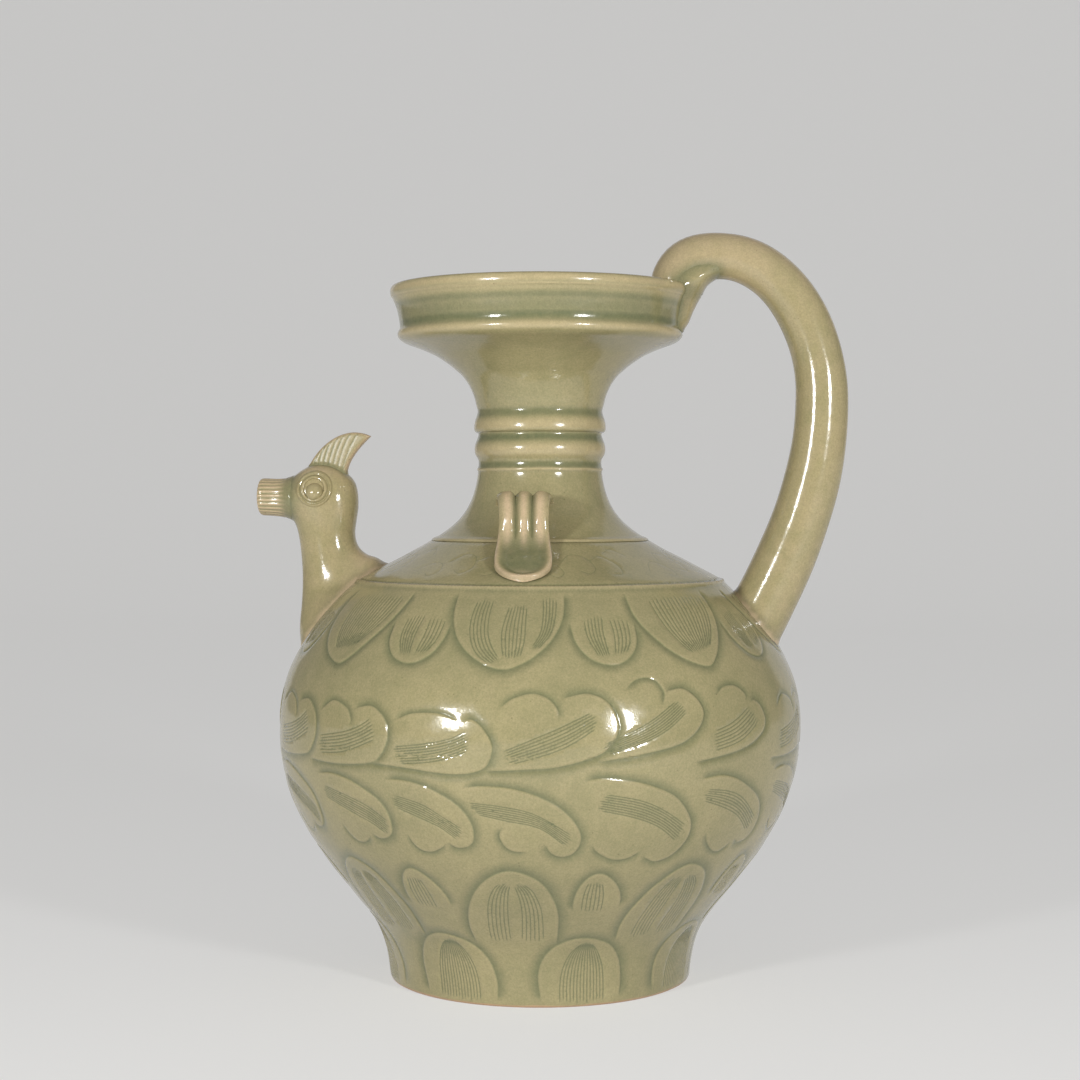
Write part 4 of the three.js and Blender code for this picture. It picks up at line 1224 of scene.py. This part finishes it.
def makeChicken():
    depth, low, rise = chicken["depth"], chicken["low"], chicken["high"] - chicken["low"]
    rows = [[a * depth - chicken["beakRoot"], low + b * rise, c * depth - chicken["beakRoot"],
             low + d * rise, w * chicken["headWidth"] / 2] for a, b, c, d, w in chicken["rows"]]
    beakLow, beakHigh = chicken["beakLow"], chicken["beakHigh"]
    rows.append([chicken["face"], beakLow, chicken["face"], beakHigh, (beakHigh - beakLow) / 2])
    stations = []
    for throatX, throatZ, napeX, napeZ, half in between(rows, 44):
        stations.append({"at": ((throatX + napeX) / 2, (throatZ + napeZ) / 2), "wide": half,
                         "deep": math.hypot(napeX - throatX, napeZ - throatZ) / 2,
                         "lean": math.degrees(math.atan2(-(napeZ - throatZ), napeX - throatX))})
    piece = drawOut("chicken_head_form", roundOutline(40, 2.06), stations, closed=False)
    roundOff(piece)
    faceOutwards(piece)
    finishWith(piece, "SOLIDIFY", thickness=chicken["wall"] * mm, offset=-1, use_rim=True)
    trimInside(piece)
    meltOnto(piece, vesselTree, *chicken["melt"])
    smoothOver(piece, 50)
    return piece


chickenPiece = makeChicken()
chickenTree = surfaceOf(chickenPiece)
print("chicken's head formed")

beakShape = {   # the rows are (reach, radius), out along the tube and back inside its bore
    "height": 211.9, "rise": 0.5, "flutes": 26, "flute": 0.34, "fluteFrom": (-113.6, -117),
    "melt": (1.6, 0.6),
    "rows": [(-110.6, 10.2), (-112.6, 9.9), (-114.2, 9.3), (-115.8, 8.85), (-118, 8.55), (-120.6, 8.4),
             (-123.2, 8.4), (-125, 8.4), (-126.1, 8.36), (-126.8, 8.15), (-127.25, 7.7), (-127.5, 7.05),
             (-127.45, 6.3), (-127.1, 5.6), (-126.3, 5.1), (-124.6, 4.85), (-121, 4.8), (-116, 4.8),
             (-110.6, 4.8)],
}


def makeBeak():
    stations = [{"at": (x, beakShape["height"] + beakShape["rise"] * easeIn(-115, -127, x)), "lean": -90.0,
                 "wide": radius, "deep": radius} for x, radius in beakShape["rows"]]
    piece = drawOut("beak_tube", roundOutline(96), stations, closed=False)
    bridgeRims(piece)
    roundOff(piece)
    spots = places(piece) / mm
    reach, side, up = spots[:, 0], spots[:, 1], spots[:, 2] - beakShape["height"]
    radius = np.hypot(side, up)
    wave = np.abs(np.cos(np.arctan2(side, up) * beakShape["flutes"] / 2))
    outside = easeIn(6.0, 7.6, radius) * easeIn(*beakShape["fluteFrom"], reach)
    scale = (radius - beakShape["flute"] * (1 - wave) ** 0.8 * outside) / radius
    pool = np.maximum((1 - wave) ** 1.5 * outside * 0.75, 0.5 * easeIn(-119, -115.5, reach))
    thin = np.maximum(wave ** 2 * outside * 0.8, easeIn(-126, -127.2, reach) * 0.95)
    putPlaces(piece, np.stack([reach, side * scale, beakShape["height"] + up * scale], 1) * mm)
    paint(piece, "pool", pool)
    paint(piece, "thin", thin)
    meltOnto(piece, chickenTree, *beakShape["melt"])
    smoothOver(piece, 60)
    return piece


combShape = {
    "front": (-104.6, 226.5), "back": (-87.6, 221.4), "tip": (-76.6, 239.6), "crest": 245.2,
    "crestBend": [(0.17, 0.75), 0.6], "hollowBend": [(0.6, 0.35), 0.65],
    "thick": 5.6, "edge": 1.5, "rimThick": 0.3, "sink": (0.8, -4.0),
    "grooves": 7, "groove": 0.14, "tooth": 0.62, "step": 0.45, "mesh": 0.7, "melt": (1.6, 0.7),
}


def combOutline():
    # the crest from the front to the tip, the hollow back down, and the foot that sinks into the head
    front, back, tip = (np.array(combShape[key]) for key in ("front", "back", "tip"))
    sink = np.array(combShape["sink"])
    (across, up), reach = combShape["crestBend"]
    first = (front[0] + (tip[0] - front[0]) * across, front[1] + (tip[1] - front[1]) * up)
    crest = bezier(front, first, (front[0] + (tip[0] - front[0]) * reach, combShape["crest"]), tip, 60)
    (across, down), below = combShape["hollowBend"]
    first = (tip[0] + (back[0] - tip[0]) * across, tip[1] + (back[1] - tip[1]) * down)
    hollow = bezier(tip, first, (back[0], tip[1] + (back[1] - tip[1]) * below), back, 40)
    stretches = [(crest, combShape["step"]), (hollow, combShape["step"]), ([back, back + sink], 0.6),
                 ([back + sink, front + sink], 0.6), ([front + sink, front], 0.6)]
    outline = np.vstack([easeLine(line, step)[:-1] for line, step in stretches])
    grooves = []
    t = np.linspace(0, 1, 22)[:, None]
    for index in range(combShape["grooves"]):
        share = (index + 1) / (combShape["grooves"] + 1)
        start = front + (back - front) * share - (0, 0.6)
        end = crest[int((0.22 + 0.72 * share) * 59)]
        lean = np.array((start[0] + (end[0] - start[0]) * 0.3, start[1] + (end[1] - start[1]) * 0.6))
        grooves.append((1 - t) ** 2 * start + 2 * (1 - t) * t * lean + t * t * end)
    return outline, grooves


def toOutline(spots, outline):
    # how far each spot is from the outline, and whether it lies inside
    after = np.roll(outline, -1, 0)
    gap = fromStretches(spots, outline, after - outline)[1]
    inside = np.zeros(len(spots), bool)
    for a, b in zip(outline, after):
        crosses = (a[1] > spots[:, 1]) != (b[1] > spots[:, 1])
        if abs(b[1] - a[1]) > 1e-9:
            inside ^= crosses & (spots[:, 0] < (b[0] - a[0]) * (spots[:, 1] - a[1]) / (b[1] - a[1]) + a[0])
    return np.hypot(gap[..., 0], gap[..., 1]).min(1), inside


def faceTurn(spots, face):
    a, b, c = (spots[i] for i in face[:3])
    return (b[0] - a[0]) * (c[1] - a[1]) - (b[1] - a[1]) * (c[0] - a[0])


def makeComb():
    outline, grooves = combOutline()
    free = []
    for path in grooves:
        out = besideWay(wayAlong(path))
        free += [path + out * offset for offset in (0, -0.3, 0.3, -0.62, 0.62)]
    along = np.roll(outline, -1, 0) - np.roll(outline, 1, 0)
    inwards = along[:, ::-1] * (1, -1) / np.maximum(np.hypot(*along.T), 1e-6)[:, None]
    free += [outline + inwards * inset for inset in (0.15, 0.45, 0.9, 1.4)]
    rows = [np.arange(low, high, combShape["mesh"]) for low, high in zip(outline.min(0), outline.max(0))]
    free = np.vstack(free + [np.stack(np.meshgrid(*rows), -1).reshape(-1, 2)])
    distance, inside = toOutline(free, outline)
    free = free[inside & (distance > 0.1)]
    points = np.vstack([outline, free[sparse(free, {}, 0.2)]])
    edges = [(i, (i + 1) % len(outline)) for i in range(len(outline))]
    result = delaunay_2d_cdt([Vector(p) for p in points.tolist()], edges, [], 1, 1e-5, False)
    flat = np.array([tuple(v) for v in result[0]])
    middles = np.array([flat[list(face)].mean(0) for face in result[2]])
    held = toOutline(middles, outline)[1]
    faces = [tuple(face) for face, inside in zip(result[2], held) if inside]
    faces = [face if faceTurn(flat, face) > 0 else face[::-1] for face in faces]

    distance = toOutline(flat, outline)[0]
    groove = np.zeros(len(flat))
    for path in grooves:
        gap = np.hypot(*(flat[:, None] - path[None]).transpose(2, 0, 1)).min(1)
        groove = np.maximum(groove, 1 - easeIn(0, combShape["tooth"], gap))
    edge = np.clip(distance / combShape["edge"], 0, 1)
    rim = combShape["rimThick"]
    half = combShape["thick"] / 2 * (rim + (1 - rim) * np.sqrt(1 - (1 - edge) ** 2))
    half = half - combShape["groove"] * groove * easeIn(0.1, 0.8, distance)
    near = np.stack([flat[:, 0], -half, flat[:, 1]], 1)
    far = np.stack([flat[:, 0], half, flat[:, 1]], 1)
    farFaces = [tuple(v + len(flat) for v in face[::-1]) for face in faces]
    piece = meshFrom("comb_blade", np.vstack([near, far]), faces + farFaces)
    bridgeRims(piece)
    paint(piece, "pool", np.tile(np.maximum(groove, 0.22 * easeIn(0.5, 1.6, distance)), 2))
    paint(piece, "thin", np.tile(swell(distance, 0, 0.7), 2))
    smoothOver(piece, 60)
    meltOnto(piece, chickenTree, *combShape["melt"])
    return piece


eyeShape = {   # the lines are (across from the middle, up from the cheek); the ring's closes on itself
    "ring": {"at": (-99.9, 216.0), "round": False,
             "line": [(4.3, -1.6), (4.3, -0.6), (4.4, 0.05), (4.7, 0.6), (5.15, 0.85), (5.6, 0.8),
                      (5.95, 0.45), (6.2, 0.05), (6.45, -0.05), (6.8, 0.15), (7.25, 0.6), (7.7, 0.6),
                      (8.1, 0.2), (8.5, -0.5), (8.5, -1.6), (4.3, -1.6)]},
    "pellet": {"at": (-99.7, 214.6), "round": True,
               "line": [(0.01, -1.6), (3.6, -1.6), (3.95, -0.7), (3.98, 0.1), (3.75, 0.85), (3.1, 1.5),
                        (2.1, 1.95), (1.0, 2.15), (0.01, 2.2)]},
    "lift": 1.3, "sides": 48,
    "from": 40, "cheek": 12,   # it is laid on from this far out, and here if no cheek is met
}


def makeEye(name, part, side):
    # turned flat, then laid on the cheek on one side of the head
    piece = turnOnWheel(name, np.array(part["line"]), eyeShape["sides"])
    if part["round"]:
        roundOff(piece)
    laid = []
    for across, up, lift in places(piece) / mm:
        reach, height = part["at"][0] + across, part["at"][1] + up
        start = Vector((reach, side * eyeShape["from"], height))
        found = chickenTree.ray_cast(start, Vector((0, -side, 0)))[0]
        cheek = found.y if found else side * eyeShape["cheek"]
        laid.append((reach, cheek + side * lift * eyeShape["lift"], height))
    putPlaces(piece, np.array(laid) * mm)
    faceOutwards(piece)
    smoothOver(piece, 50)
    return piece


beakPiece = makeBeak()
combPiece = makeComb()
eyePieces = [makeEye("eye_" + name + "_" + place, eyeShape[name], side)
             for place, side in (("near", -1), ("far", 1)) for name in ("ring", "pellet")]
print("beak, comb and eyes set on")


# how the glaze gathers and thins, and the painted light on the tops of the trim

flow = {   # in mm, or as shares of 1
    "reach": 3.6, "bodyReach": 2.4, "jawReach": 6.5, "beakReach": 6.5, "headReach": 5,
    "gather": 0.85, "hollow": 0.8, "ownEdge": (1.7, 0.7), "edge": 0.8, "edgePool": 0.6,
    "topLightFacing": (0.25, 0.95), "paintedTopLight": 0.5,   # painted light: how much paler the trim's upward faces are painted, as if lit from above
    "vessel": {"thinFrom": 0.5, "thinTo": 2.4, "poolTo": 0.6},   # how sharp a bend thins or pools it
    "trim": {"thinFrom": 0.2, "thinTo": 0.9, "poolTo": 0.5},
    "eye": {"thinFrom": 0.2, "thinTo": 1.2, "poolTo": 0.5},
}
seamHeights = (thrown["belly"][1], dishShape["seam"][1])   # flush joints, where no edge shows


def bendOf(piece):
    # how sharply the surface bends at each point: above nought on ridges, below in hollows
    spots, lines = places(piece) / mm, normalsOf(piece)
    ends = np.empty(len(piece.data.edges) * 2, np.int32)
    piece.data.edges.foreach_get("vertices", ends)
    a, b = ends.reshape(-1, 2).T
    gap = spots[b] - spots[a]
    size = np.maximum((gap ** 2).sum(1), 0.02)

    def gathered(atA, atB):
        total = np.zeros(len(spots))
        np.add.at(total, a, atA)
        np.add.at(total, b, atB)
        return total

    count = np.maximum(gathered(1, 1), 1)
    bend = gathered(-(gap * lines[a]).sum(1) / size, (gap * lines[b]).sum(1) / size) / count
    for _ in range(2):
        bend = 0.5 * bend + 0.5 * gathered(bend[b], bend[a]) / count
    return bend


def gatherGlaze(piece, others, feel, paintedTopLight=0.0):
    # others are (tree, box, how far the glaze gathers, whether this piece's own edge runs thin on it)
    spots, bend = places(piece) / mm, bendOf(piece)
    for height in seamHeights:
        bend *= easeIn(0.3, 2.0, np.abs(spots[:, 2] - height))
    thin = np.maximum(painted(piece, "thin"), easeIn(feel["thinFrom"], feel["thinTo"], bend))
    # painted light: a surface that faces up is painted paler with the thin-glaze colour, as if lit from above
    thin = np.maximum(thin, paintedTopLight * easeIn(*flow["topLightFacing"], normalsOf(piece)[:, 2]))
    pool = np.maximum(painted(piece, "pool"), easeIn(0.01, feel["poolTo"], -bend) * flow["hollow"])
    for tree, box, reach, ownEdge in others:
        near = np.nonzero(((spots > box[0]) & (spots < box[1])).all(1))[0]
        gaps = np.abs(heightOver(tree, spots[near], reach)[0])
        gather = np.clip(1 - gaps / reach, 0, 1) ** 1.5 * flow["gather"]
        if ownEdge:
            edge = easeIn(*flow["ownEdge"], gaps) * flow["edge"]
            thin[near] = np.maximum(thin[near] * (1 - gather), edge)
            pool[near] = np.maximum(pool[near], gather * flow["edgePool"]) * (1 - edge)
        else:
            pool[near] = np.maximum(pool[near], gather)
            thin[near] *= 1 - gather
    paint(piece, "pool", pool)
    paint(piece, "thin", thin)


applied = [handlePiece, jawPiece, lugFront, lugBehind, chickenPiece, beakPiece, combPiece]
trees = {piece.name: surfaceOf(piece) for piece in applied}


def against(piece, reach=flow["reach"]):
    spots = places(piece) / mm
    return trees[piece.name], (spots.min(0) - reach, spots.max(0) + reach), reach, False


def onVessel(ownEdge=True):
    everywhere = (np.full(3, -np.inf), np.full(3, np.inf))
    return vesselTree, everywhere, flow["reach"], ownEdge


for piece in (lowerBody, upperBody, neckPiece):
    gatherGlaze(piece, [against(other, flow["bodyReach"]) for other in applied[:5]], flow["vessel"])
gatherGlaze(dishPiece, [against(handlePiece), against(jawPiece, flow["jawReach"])], flow["vessel"])
for piece in (lugFront, lugBehind):
    gatherGlaze(piece, [onVessel()], flow["trim"])
# these trim pieces also get painted light: their upward faces are painted paler, as if lit from above
for piece, others in ((handlePiece, [onVessel(), against(jawPiece)]),
                      (jawPiece, [onVessel(False), against(handlePiece)]),
                      (chickenPiece, [onVessel(), against(combPiece), against(beakPiece, flow["beakReach"])]),
                      (beakPiece, [against(chickenPiece, flow["headReach"])]),
                      (combPiece, [against(chickenPiece)])):
    gatherGlaze(piece, others, flow["trim"], flow["paintedTopLight"])
for piece in eyePieces:
    gatherGlaze(piece, [], flow["eye"])
print("glaze gathered")


# the glaze

celadon = {
    "body": {"tone": (0.400, 0.350, 0.180), "deep": (0.150, 0.165, 0.083), "edge": (0.57, 0.46, 0.265)},
    "trim": {"tone": (0.408, 0.346, 0.176), "deep": (0.165, 0.178, 0.092), "edge": (0.71, 0.525, 0.345)},
    "biscuit": (0.50, 0.33, 0.20), "dust": (0.05, 0.05, 0.02), "iron": (0.10, 0.075, 0.035),
    "coat": 0.12, "coatGloss": 0.05, "bend": 1.5, "bump": 0.25, "bumpHeight": 0.0004,
    "gloss": (0.11, 0.17), "thinDull": 0.05, "bareDull": 0.6, "speckSize": 330, "speck": 0.4,
    "footBare": (0.0007, 0.0001), "footWaver": 0.0012,   # the foot's edge is bare clay below these heights
}
unevenness = {   # scale, detail and roughness of each noise in the glaze
    "foot": (60, 2, 0.5), "cloud": (26, 4, 0.5), "mottle": (150, 3, 0.5), "grain": (1500, 2, 0.7),
    "broken": (420, 3, 0.5), "freckle": (900, 2, 0.6), "patch": (95, 2, 0.5),
    "ripple": (260, 2, 0.5), "peel": (1100, 2, 0.5), "wave": (48, 2, 0.5),
}


def rgba(colour):
    return (*colour, 1.0)


def feed(links, socket, value):
    # a socket takes a number or a colour, or a link from another node
    if isinstance(value, (float, int, tuple)):
        socket.default_value = value
    else:
        links.new(value, socket)


def buildGlazeGroup():
    # colour, roughness and a fine height for one celadon glaze over pale clay
    group = bpy.data.node_groups.new("celadon over clay", "ShaderNodeTree")
    sockets = {"INPUT": {"Tone": "Color", "Deep": "Color", "Edge": "Color", "Clay": "Color",
                         "Cloud": "Float", "Dull": "Float"},
               "OUTPUT": {"Color": "Color", "Roughness": "Float", "Height": "Float"}}
    for way, kinds in sockets.items():
        for name, kind in kinds.items():
            group.interface.new_socket(name=name, in_out=way, socket_type="NodeSocket" + kind)
    nodes, links = group.nodes, group.links
    given, result = nodes.new("NodeGroupInput").outputs, nodes.new("NodeGroupOutput").inputs
    where = nodes.new("ShaderNodeTexCoord").outputs["Object"]

    def noise(name):
        node = nodes.new("ShaderNodeTexNoise")
        for key, value in zip(("Scale", "Detail", "Roughness"), unevenness[name]):
            node.inputs[key].default_value = value
        links.new(where, node.inputs["Vector"])
        return node.outputs["Fac"]

    def remap(value, low, high, toLow=0.0, toHigh=1.0):
        node = nodes.new("ShaderNodeMapRange")
        for key, number in (("From Min", low), ("From Max", high), ("To Min", toLow), ("To Max", toHigh)):
            node.inputs[key].default_value = number
        links.new(value, node.inputs["Value"])
        return node.outputs["Result"]

    def blend(mask, first, second):
        node = nodes.new("ShaderNodeMix")
        node.data_type = "RGBA"
        for socket, value in ((node.inputs[0], mask), (node.inputs[6], first), (node.inputs[7], second)):
            feed(links, socket, value)
        return node.outputs[2]

    def sums(kind, first, second):
        node = nodes.new("ShaderNodeMath")
        node.operation = kind
        feed(links, node.inputs[0], first)
        feed(links, node.inputs[1], second)
        return node.outputs[0]

    def attribute(name):
        node = nodes.new("ShaderNodeAttribute")
        node.attribute_name = name
        return node.outputs["Fac"]

    pool, thin = attribute("pool"), attribute("thin")
    split = nodes.new("ShaderNodeSeparateXYZ")
    links.new(where, split.inputs[0])
    waver = sums("MULTIPLY", noise("foot"), celadon["footWaver"])
    bare = remap(sums("SUBTRACT", split.outputs["Z"], waver), *celadon["footBare"])
    cloud = remap(noise("cloud"), 0.35, 0.65)
    mottle = remap(noise("mottle"), 0.3, 0.7)
    grain = remap(noise("grain"), 0.3, 0.7, 0, 0.2)
    broken = remap(noise("broken"), 0.25, 0.75)
    freckle = remap(noise("freckle"), 0.35, 0.65, 0, 0.2)
    cell = nodes.new("ShaderNodeTexVoronoi")
    cell.inputs["Scale"].default_value = celadon["speckSize"]
    links.new(where, cell.inputs["Vector"])
    speck = sums("MULTIPLY", remap(cell.outputs["Distance"], 0.13, 0.07), remap(noise("patch"), 0.55, 0.62))
    # from the ground up: clouds, mottling, freckles, pools, thin edges (whose mask on the trim also holds
    # painted light on the tops), dust, iron specks, bare clay
    tone = given["Tone"]
    for mask, colour in ((sums("MULTIPLY", cloud, given["Cloud"]), given["Deep"]),
                         (remap(mottle, 0, 1, 0, 0.22), given["Edge"]), (freckle, given["Deep"]),
                         (sums("MULTIPLY", pool, remap(broken, 0, 1, 0.72, 1.0)), given["Deep"]),
                         (sums("MULTIPLY", thin, remap(broken, 0, 1, 0.6, 0.95)), given["Edge"]),
                         (grain, rgba(celadon["dust"])),
                         (sums("MULTIPLY", speck, celadon["speck"]), rgba(celadon["iron"])),
                         (bare, given["Clay"])):
        tone = blend(mask, tone, colour)
    links.new(tone, result["Color"])
    gloss = sums("ADD", remap(mottle, 0, 1, *celadon["gloss"]), given["Dull"])
    for mask, dull in ((thin, celadon["thinDull"]), (bare, celadon["bareDull"])):
        gloss = sums("ADD", gloss, sums("MULTIPLY", mask, dull))
    links.new(gloss, result["Roughness"])
    height = sums("ADD", sums("MULTIPLY", noise("ripple"), 0.55), sums("MULTIPLY", noise("peel"), 0.2))
    links.new(sums("ADD", height, sums("MULTIPLY", noise("wave"), 1.6)), result["Height"])
    return group


def mixGlaze(name, group, colours, cloud, dull=0.0):
    material = bpy.data.materials.new(name)
    material.use_nodes = True
    nodes, links = material.node_tree.nodes, material.node_tree.links
    nodes.clear()
    out = nodes.new("ShaderNodeOutputMaterial")
    shader = nodes.new("ShaderNodeBsdfPrincipled")
    for key, value in (("IOR", celadon["bend"]), ("Coat Weight", 0.0 if dull else celadon["coat"]),
                       ("Coat Roughness", celadon["coatGloss"]), ("Coat IOR", celadon["bend"])):
        shader.inputs[key].default_value = value
    glaze = nodes.new("ShaderNodeGroup")
    glaze.node_tree = group
    for key, value in (("Tone", rgba(colours["tone"])), ("Deep", rgba(colours["deep"])),
                       ("Edge", rgba(colours["edge"])), ("Clay", rgba(celadon["biscuit"])),
                       ("Cloud", cloud), ("Dull", dull)):
        glaze.inputs[key].default_value = value
    bump = nodes.new("ShaderNodeBump")
    bump.inputs["Strength"].default_value = celadon["bump"]
    bump.inputs["Distance"].default_value = celadon["bumpHeight"]
    links.new(glaze.outputs["Color"], shader.inputs["Base Color"])
    links.new(glaze.outputs["Roughness"], shader.inputs["Roughness"])
    links.new(glaze.outputs["Height"], bump.inputs["Height"])
    links.new(bump.outputs["Normal"], shader.inputs["Normal"])
    links.new(shader.outputs["BSDF"], out.inputs["Surface"])
    return material


glazeGroup = buildGlazeGroup()
bodyGlaze = mixGlaze("body glaze", glazeGroup, celadon["body"], 0.28)
trimGlaze = mixGlaze("trim glaze", glazeGroup, celadon["trim"], 0.16)
thinGlaze = mixGlaze("thin glaze", glazeGroup, celadon["trim"], 0.16, 0.2)

stands = [
    (lowerBody, "lower_body", bodyGlaze), (upperBody, "upper_body", bodyGlaze),
    (neckPiece, "neck", bodyGlaze), (dishPiece, "dish_mouth", bodyGlaze),
    (handlePiece, "handle", trimGlaze), (jawPiece, "handle_jaw", trimGlaze),
    (lugFront, "lug_front", trimGlaze), (lugBehind, "lug_back", trimGlaze),
    (chickenPiece, "chicken_head", trimGlaze), (beakPiece, "beak", trimGlaze), (combPiece, "comb", thinGlaze),
    (eyePieces[0], "eye_ring_front", trimGlaze), (eyePieces[1], "eye_pellet_front", trimGlaze),
    (eyePieces[2], "eye_ring_back", trimGlaze), (eyePieces[3], "eye_pellet_back", trimGlaze),
]
for piece, node, glaze in stands:
    piece.data.materials.clear()
    piece.data.materials.append(glaze)
    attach(piece, "root")
    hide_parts(node)
pickUp(vesselCore)
bpy.ops.object.delete()
print("glazed")


# the table, the backdrop and the lamps

studio = {
    "floor": (0.86, 0.855, 0.84), "fibre": 0.97, "floorSize": 5, "curve": 0.12, "curveSteps": 10, "back": 3,
    "paperLight": (1, 0.995, 0.985), "paper": 0.86, "paperShare": 0.55,
    "fillLight": (1, 0.99, 0.97), "fill": 0.19,
    "soft": 7.2, "softSize": (0.13, 0.16), "softUp": 0.365, "softAway": 1.15,
    "softTurns": {"left": -36, "right": 34}, "aim": (0, 0, 0.17),
}


def paperMaterial():
    material = bpy.data.materials.new("paper sweep")
    material.use_nodes = True
    nodes, links = material.node_tree.nodes, material.node_tree.links
    shader = nodes["Principled BSDF"]
    shader.inputs["Roughness"].default_value = 0.9
    shader.inputs["Specular IOR Level"].default_value = 0.1
    where = nodes.new("ShaderNodeTexCoord")
    fibre = nodes.new("ShaderNodeTexNoise")
    fibre.inputs["Scale"].default_value = 900
    links.new(where.outputs["Object"], fibre.inputs["Vector"])
    tint = nodes.new("ShaderNodeMix")
    tint.data_type = "RGBA"
    tint.inputs[6].default_value = rgba(studio["floor"])
    tint.inputs[7].default_value = rgba(tuple(c * studio["fibre"] for c in studio["floor"]))
    links.new(fibre.outputs["Fac"], tint.inputs[0])
    links.new(tint.outputs[2], shader.inputs["Base Color"])
    # pale wherever it is seen or mirrored; the light that it throws back stays low
    pale, mix = nodes.new("ShaderNodeEmission"), nodes.new("ShaderNodeMixShader")
    pale.inputs["Color"].default_value = rgba(studio["paperLight"])
    pale.inputs["Strength"].default_value = studio["paper"]
    rays = nodes.new("ShaderNodeLightPath")
    seen = rays.outputs["Is Camera Ray"]
    for kind, value in (("MAXIMUM", rays.outputs["Is Glossy Ray"]),
                        ("MAXIMUM", rays.outputs["Is Transmission Ray"]),
                        ("MULTIPLY", studio["paperShare"])):
        node = nodes.new("ShaderNodeMath")
        node.operation = kind
        links.new(seen, node.inputs[0])
        feed(links, node.inputs[1], value)
        seen = node.outputs[0]
    links.new(seen, mix.inputs[0])
    links.new(shader.outputs["BSDF"], mix.inputs[1])
    links.new(pale.outputs[0], mix.inputs[2])
    links.new(mix.outputs[0], nodes["Material Output"].inputs["Surface"])
    return material


def makeFloor():
    clearBench()
    bpy.ops.mesh.primitive_plane_add(size=studio["floorSize"], location=(0, 0, 0))
    floor = bpy.context.object
    bpy.ops.object.mode_set(mode="EDIT")
    bpy.ops.mesh.select_all(action="DESELECT")
    bpy.ops.object.mode_set(mode="OBJECT")
    for edge in floor.data.edges:
        edge.select = all(floor.data.vertices[v].co.y > 0 for v in edge.vertices)
    bpy.ops.object.mode_set(mode="EDIT")
    bpy.ops.mesh.select_mode(type="EDGE")
    for step in range(studio["curveSteps"]):
        lean = math.pi / 2 * (step + 0.5) / studio["curveSteps"]
        bpy.ops.mesh.extrude_region_move(TRANSFORM_OT_translate={
            "value": (0, studio["curve"] * math.cos(lean), studio["curve"] * math.sin(lean))})
    bpy.ops.mesh.extrude_region_move(TRANSFORM_OT_translate={"value": (0, 0, studio["back"])})
    floor = setDown("floor")
    smoothOver(floor, 30)
    floor.data.materials.append(paperMaterial())


def softbox(name, turn):
    angle = math.radians(turn)
    away = studio["softAway"]
    spot = Vector((away * math.sin(angle), -away * math.cos(angle), studio["softUp"]))
    bpy.ops.object.light_add(type="AREA", location=spot)
    lamp = bpy.context.object
    lamp.name = name
    lamp.data.shape = "RECTANGLE"
    lamp.data.size, lamp.data.size_y = studio["softSize"]
    lamp.data.energy = studio["soft"]
    lamp.rotation_euler = (Vector(studio["aim"]) - spot).to_track_quat("-Z", "Y").to_euler()


def lightRoom():
    world = bpy.data.worlds.new("studio")
    bpy.context.scene.world = world
    world.use_nodes = True
    nodes, links = world.node_tree.nodes, world.node_tree.links
    nodes.clear()
    out = nodes.new("ShaderNodeOutputWorld")
    soft = nodes.new("ShaderNodeBackground")
    soft.inputs["Color"].default_value = rgba(studio["fillLight"])
    soft.inputs["Strength"].default_value = studio["fill"]
    links.new(soft.outputs[0], out.inputs["Surface"])
    for side, turn in studio["softTurns"].items():
        softbox("soft " + side, cameraPlace["turn"] + turn)


makeFloor()
lightRoom()
view = bpy.context.scene.view_settings
view.view_transform = "Standard"
print("stage set")
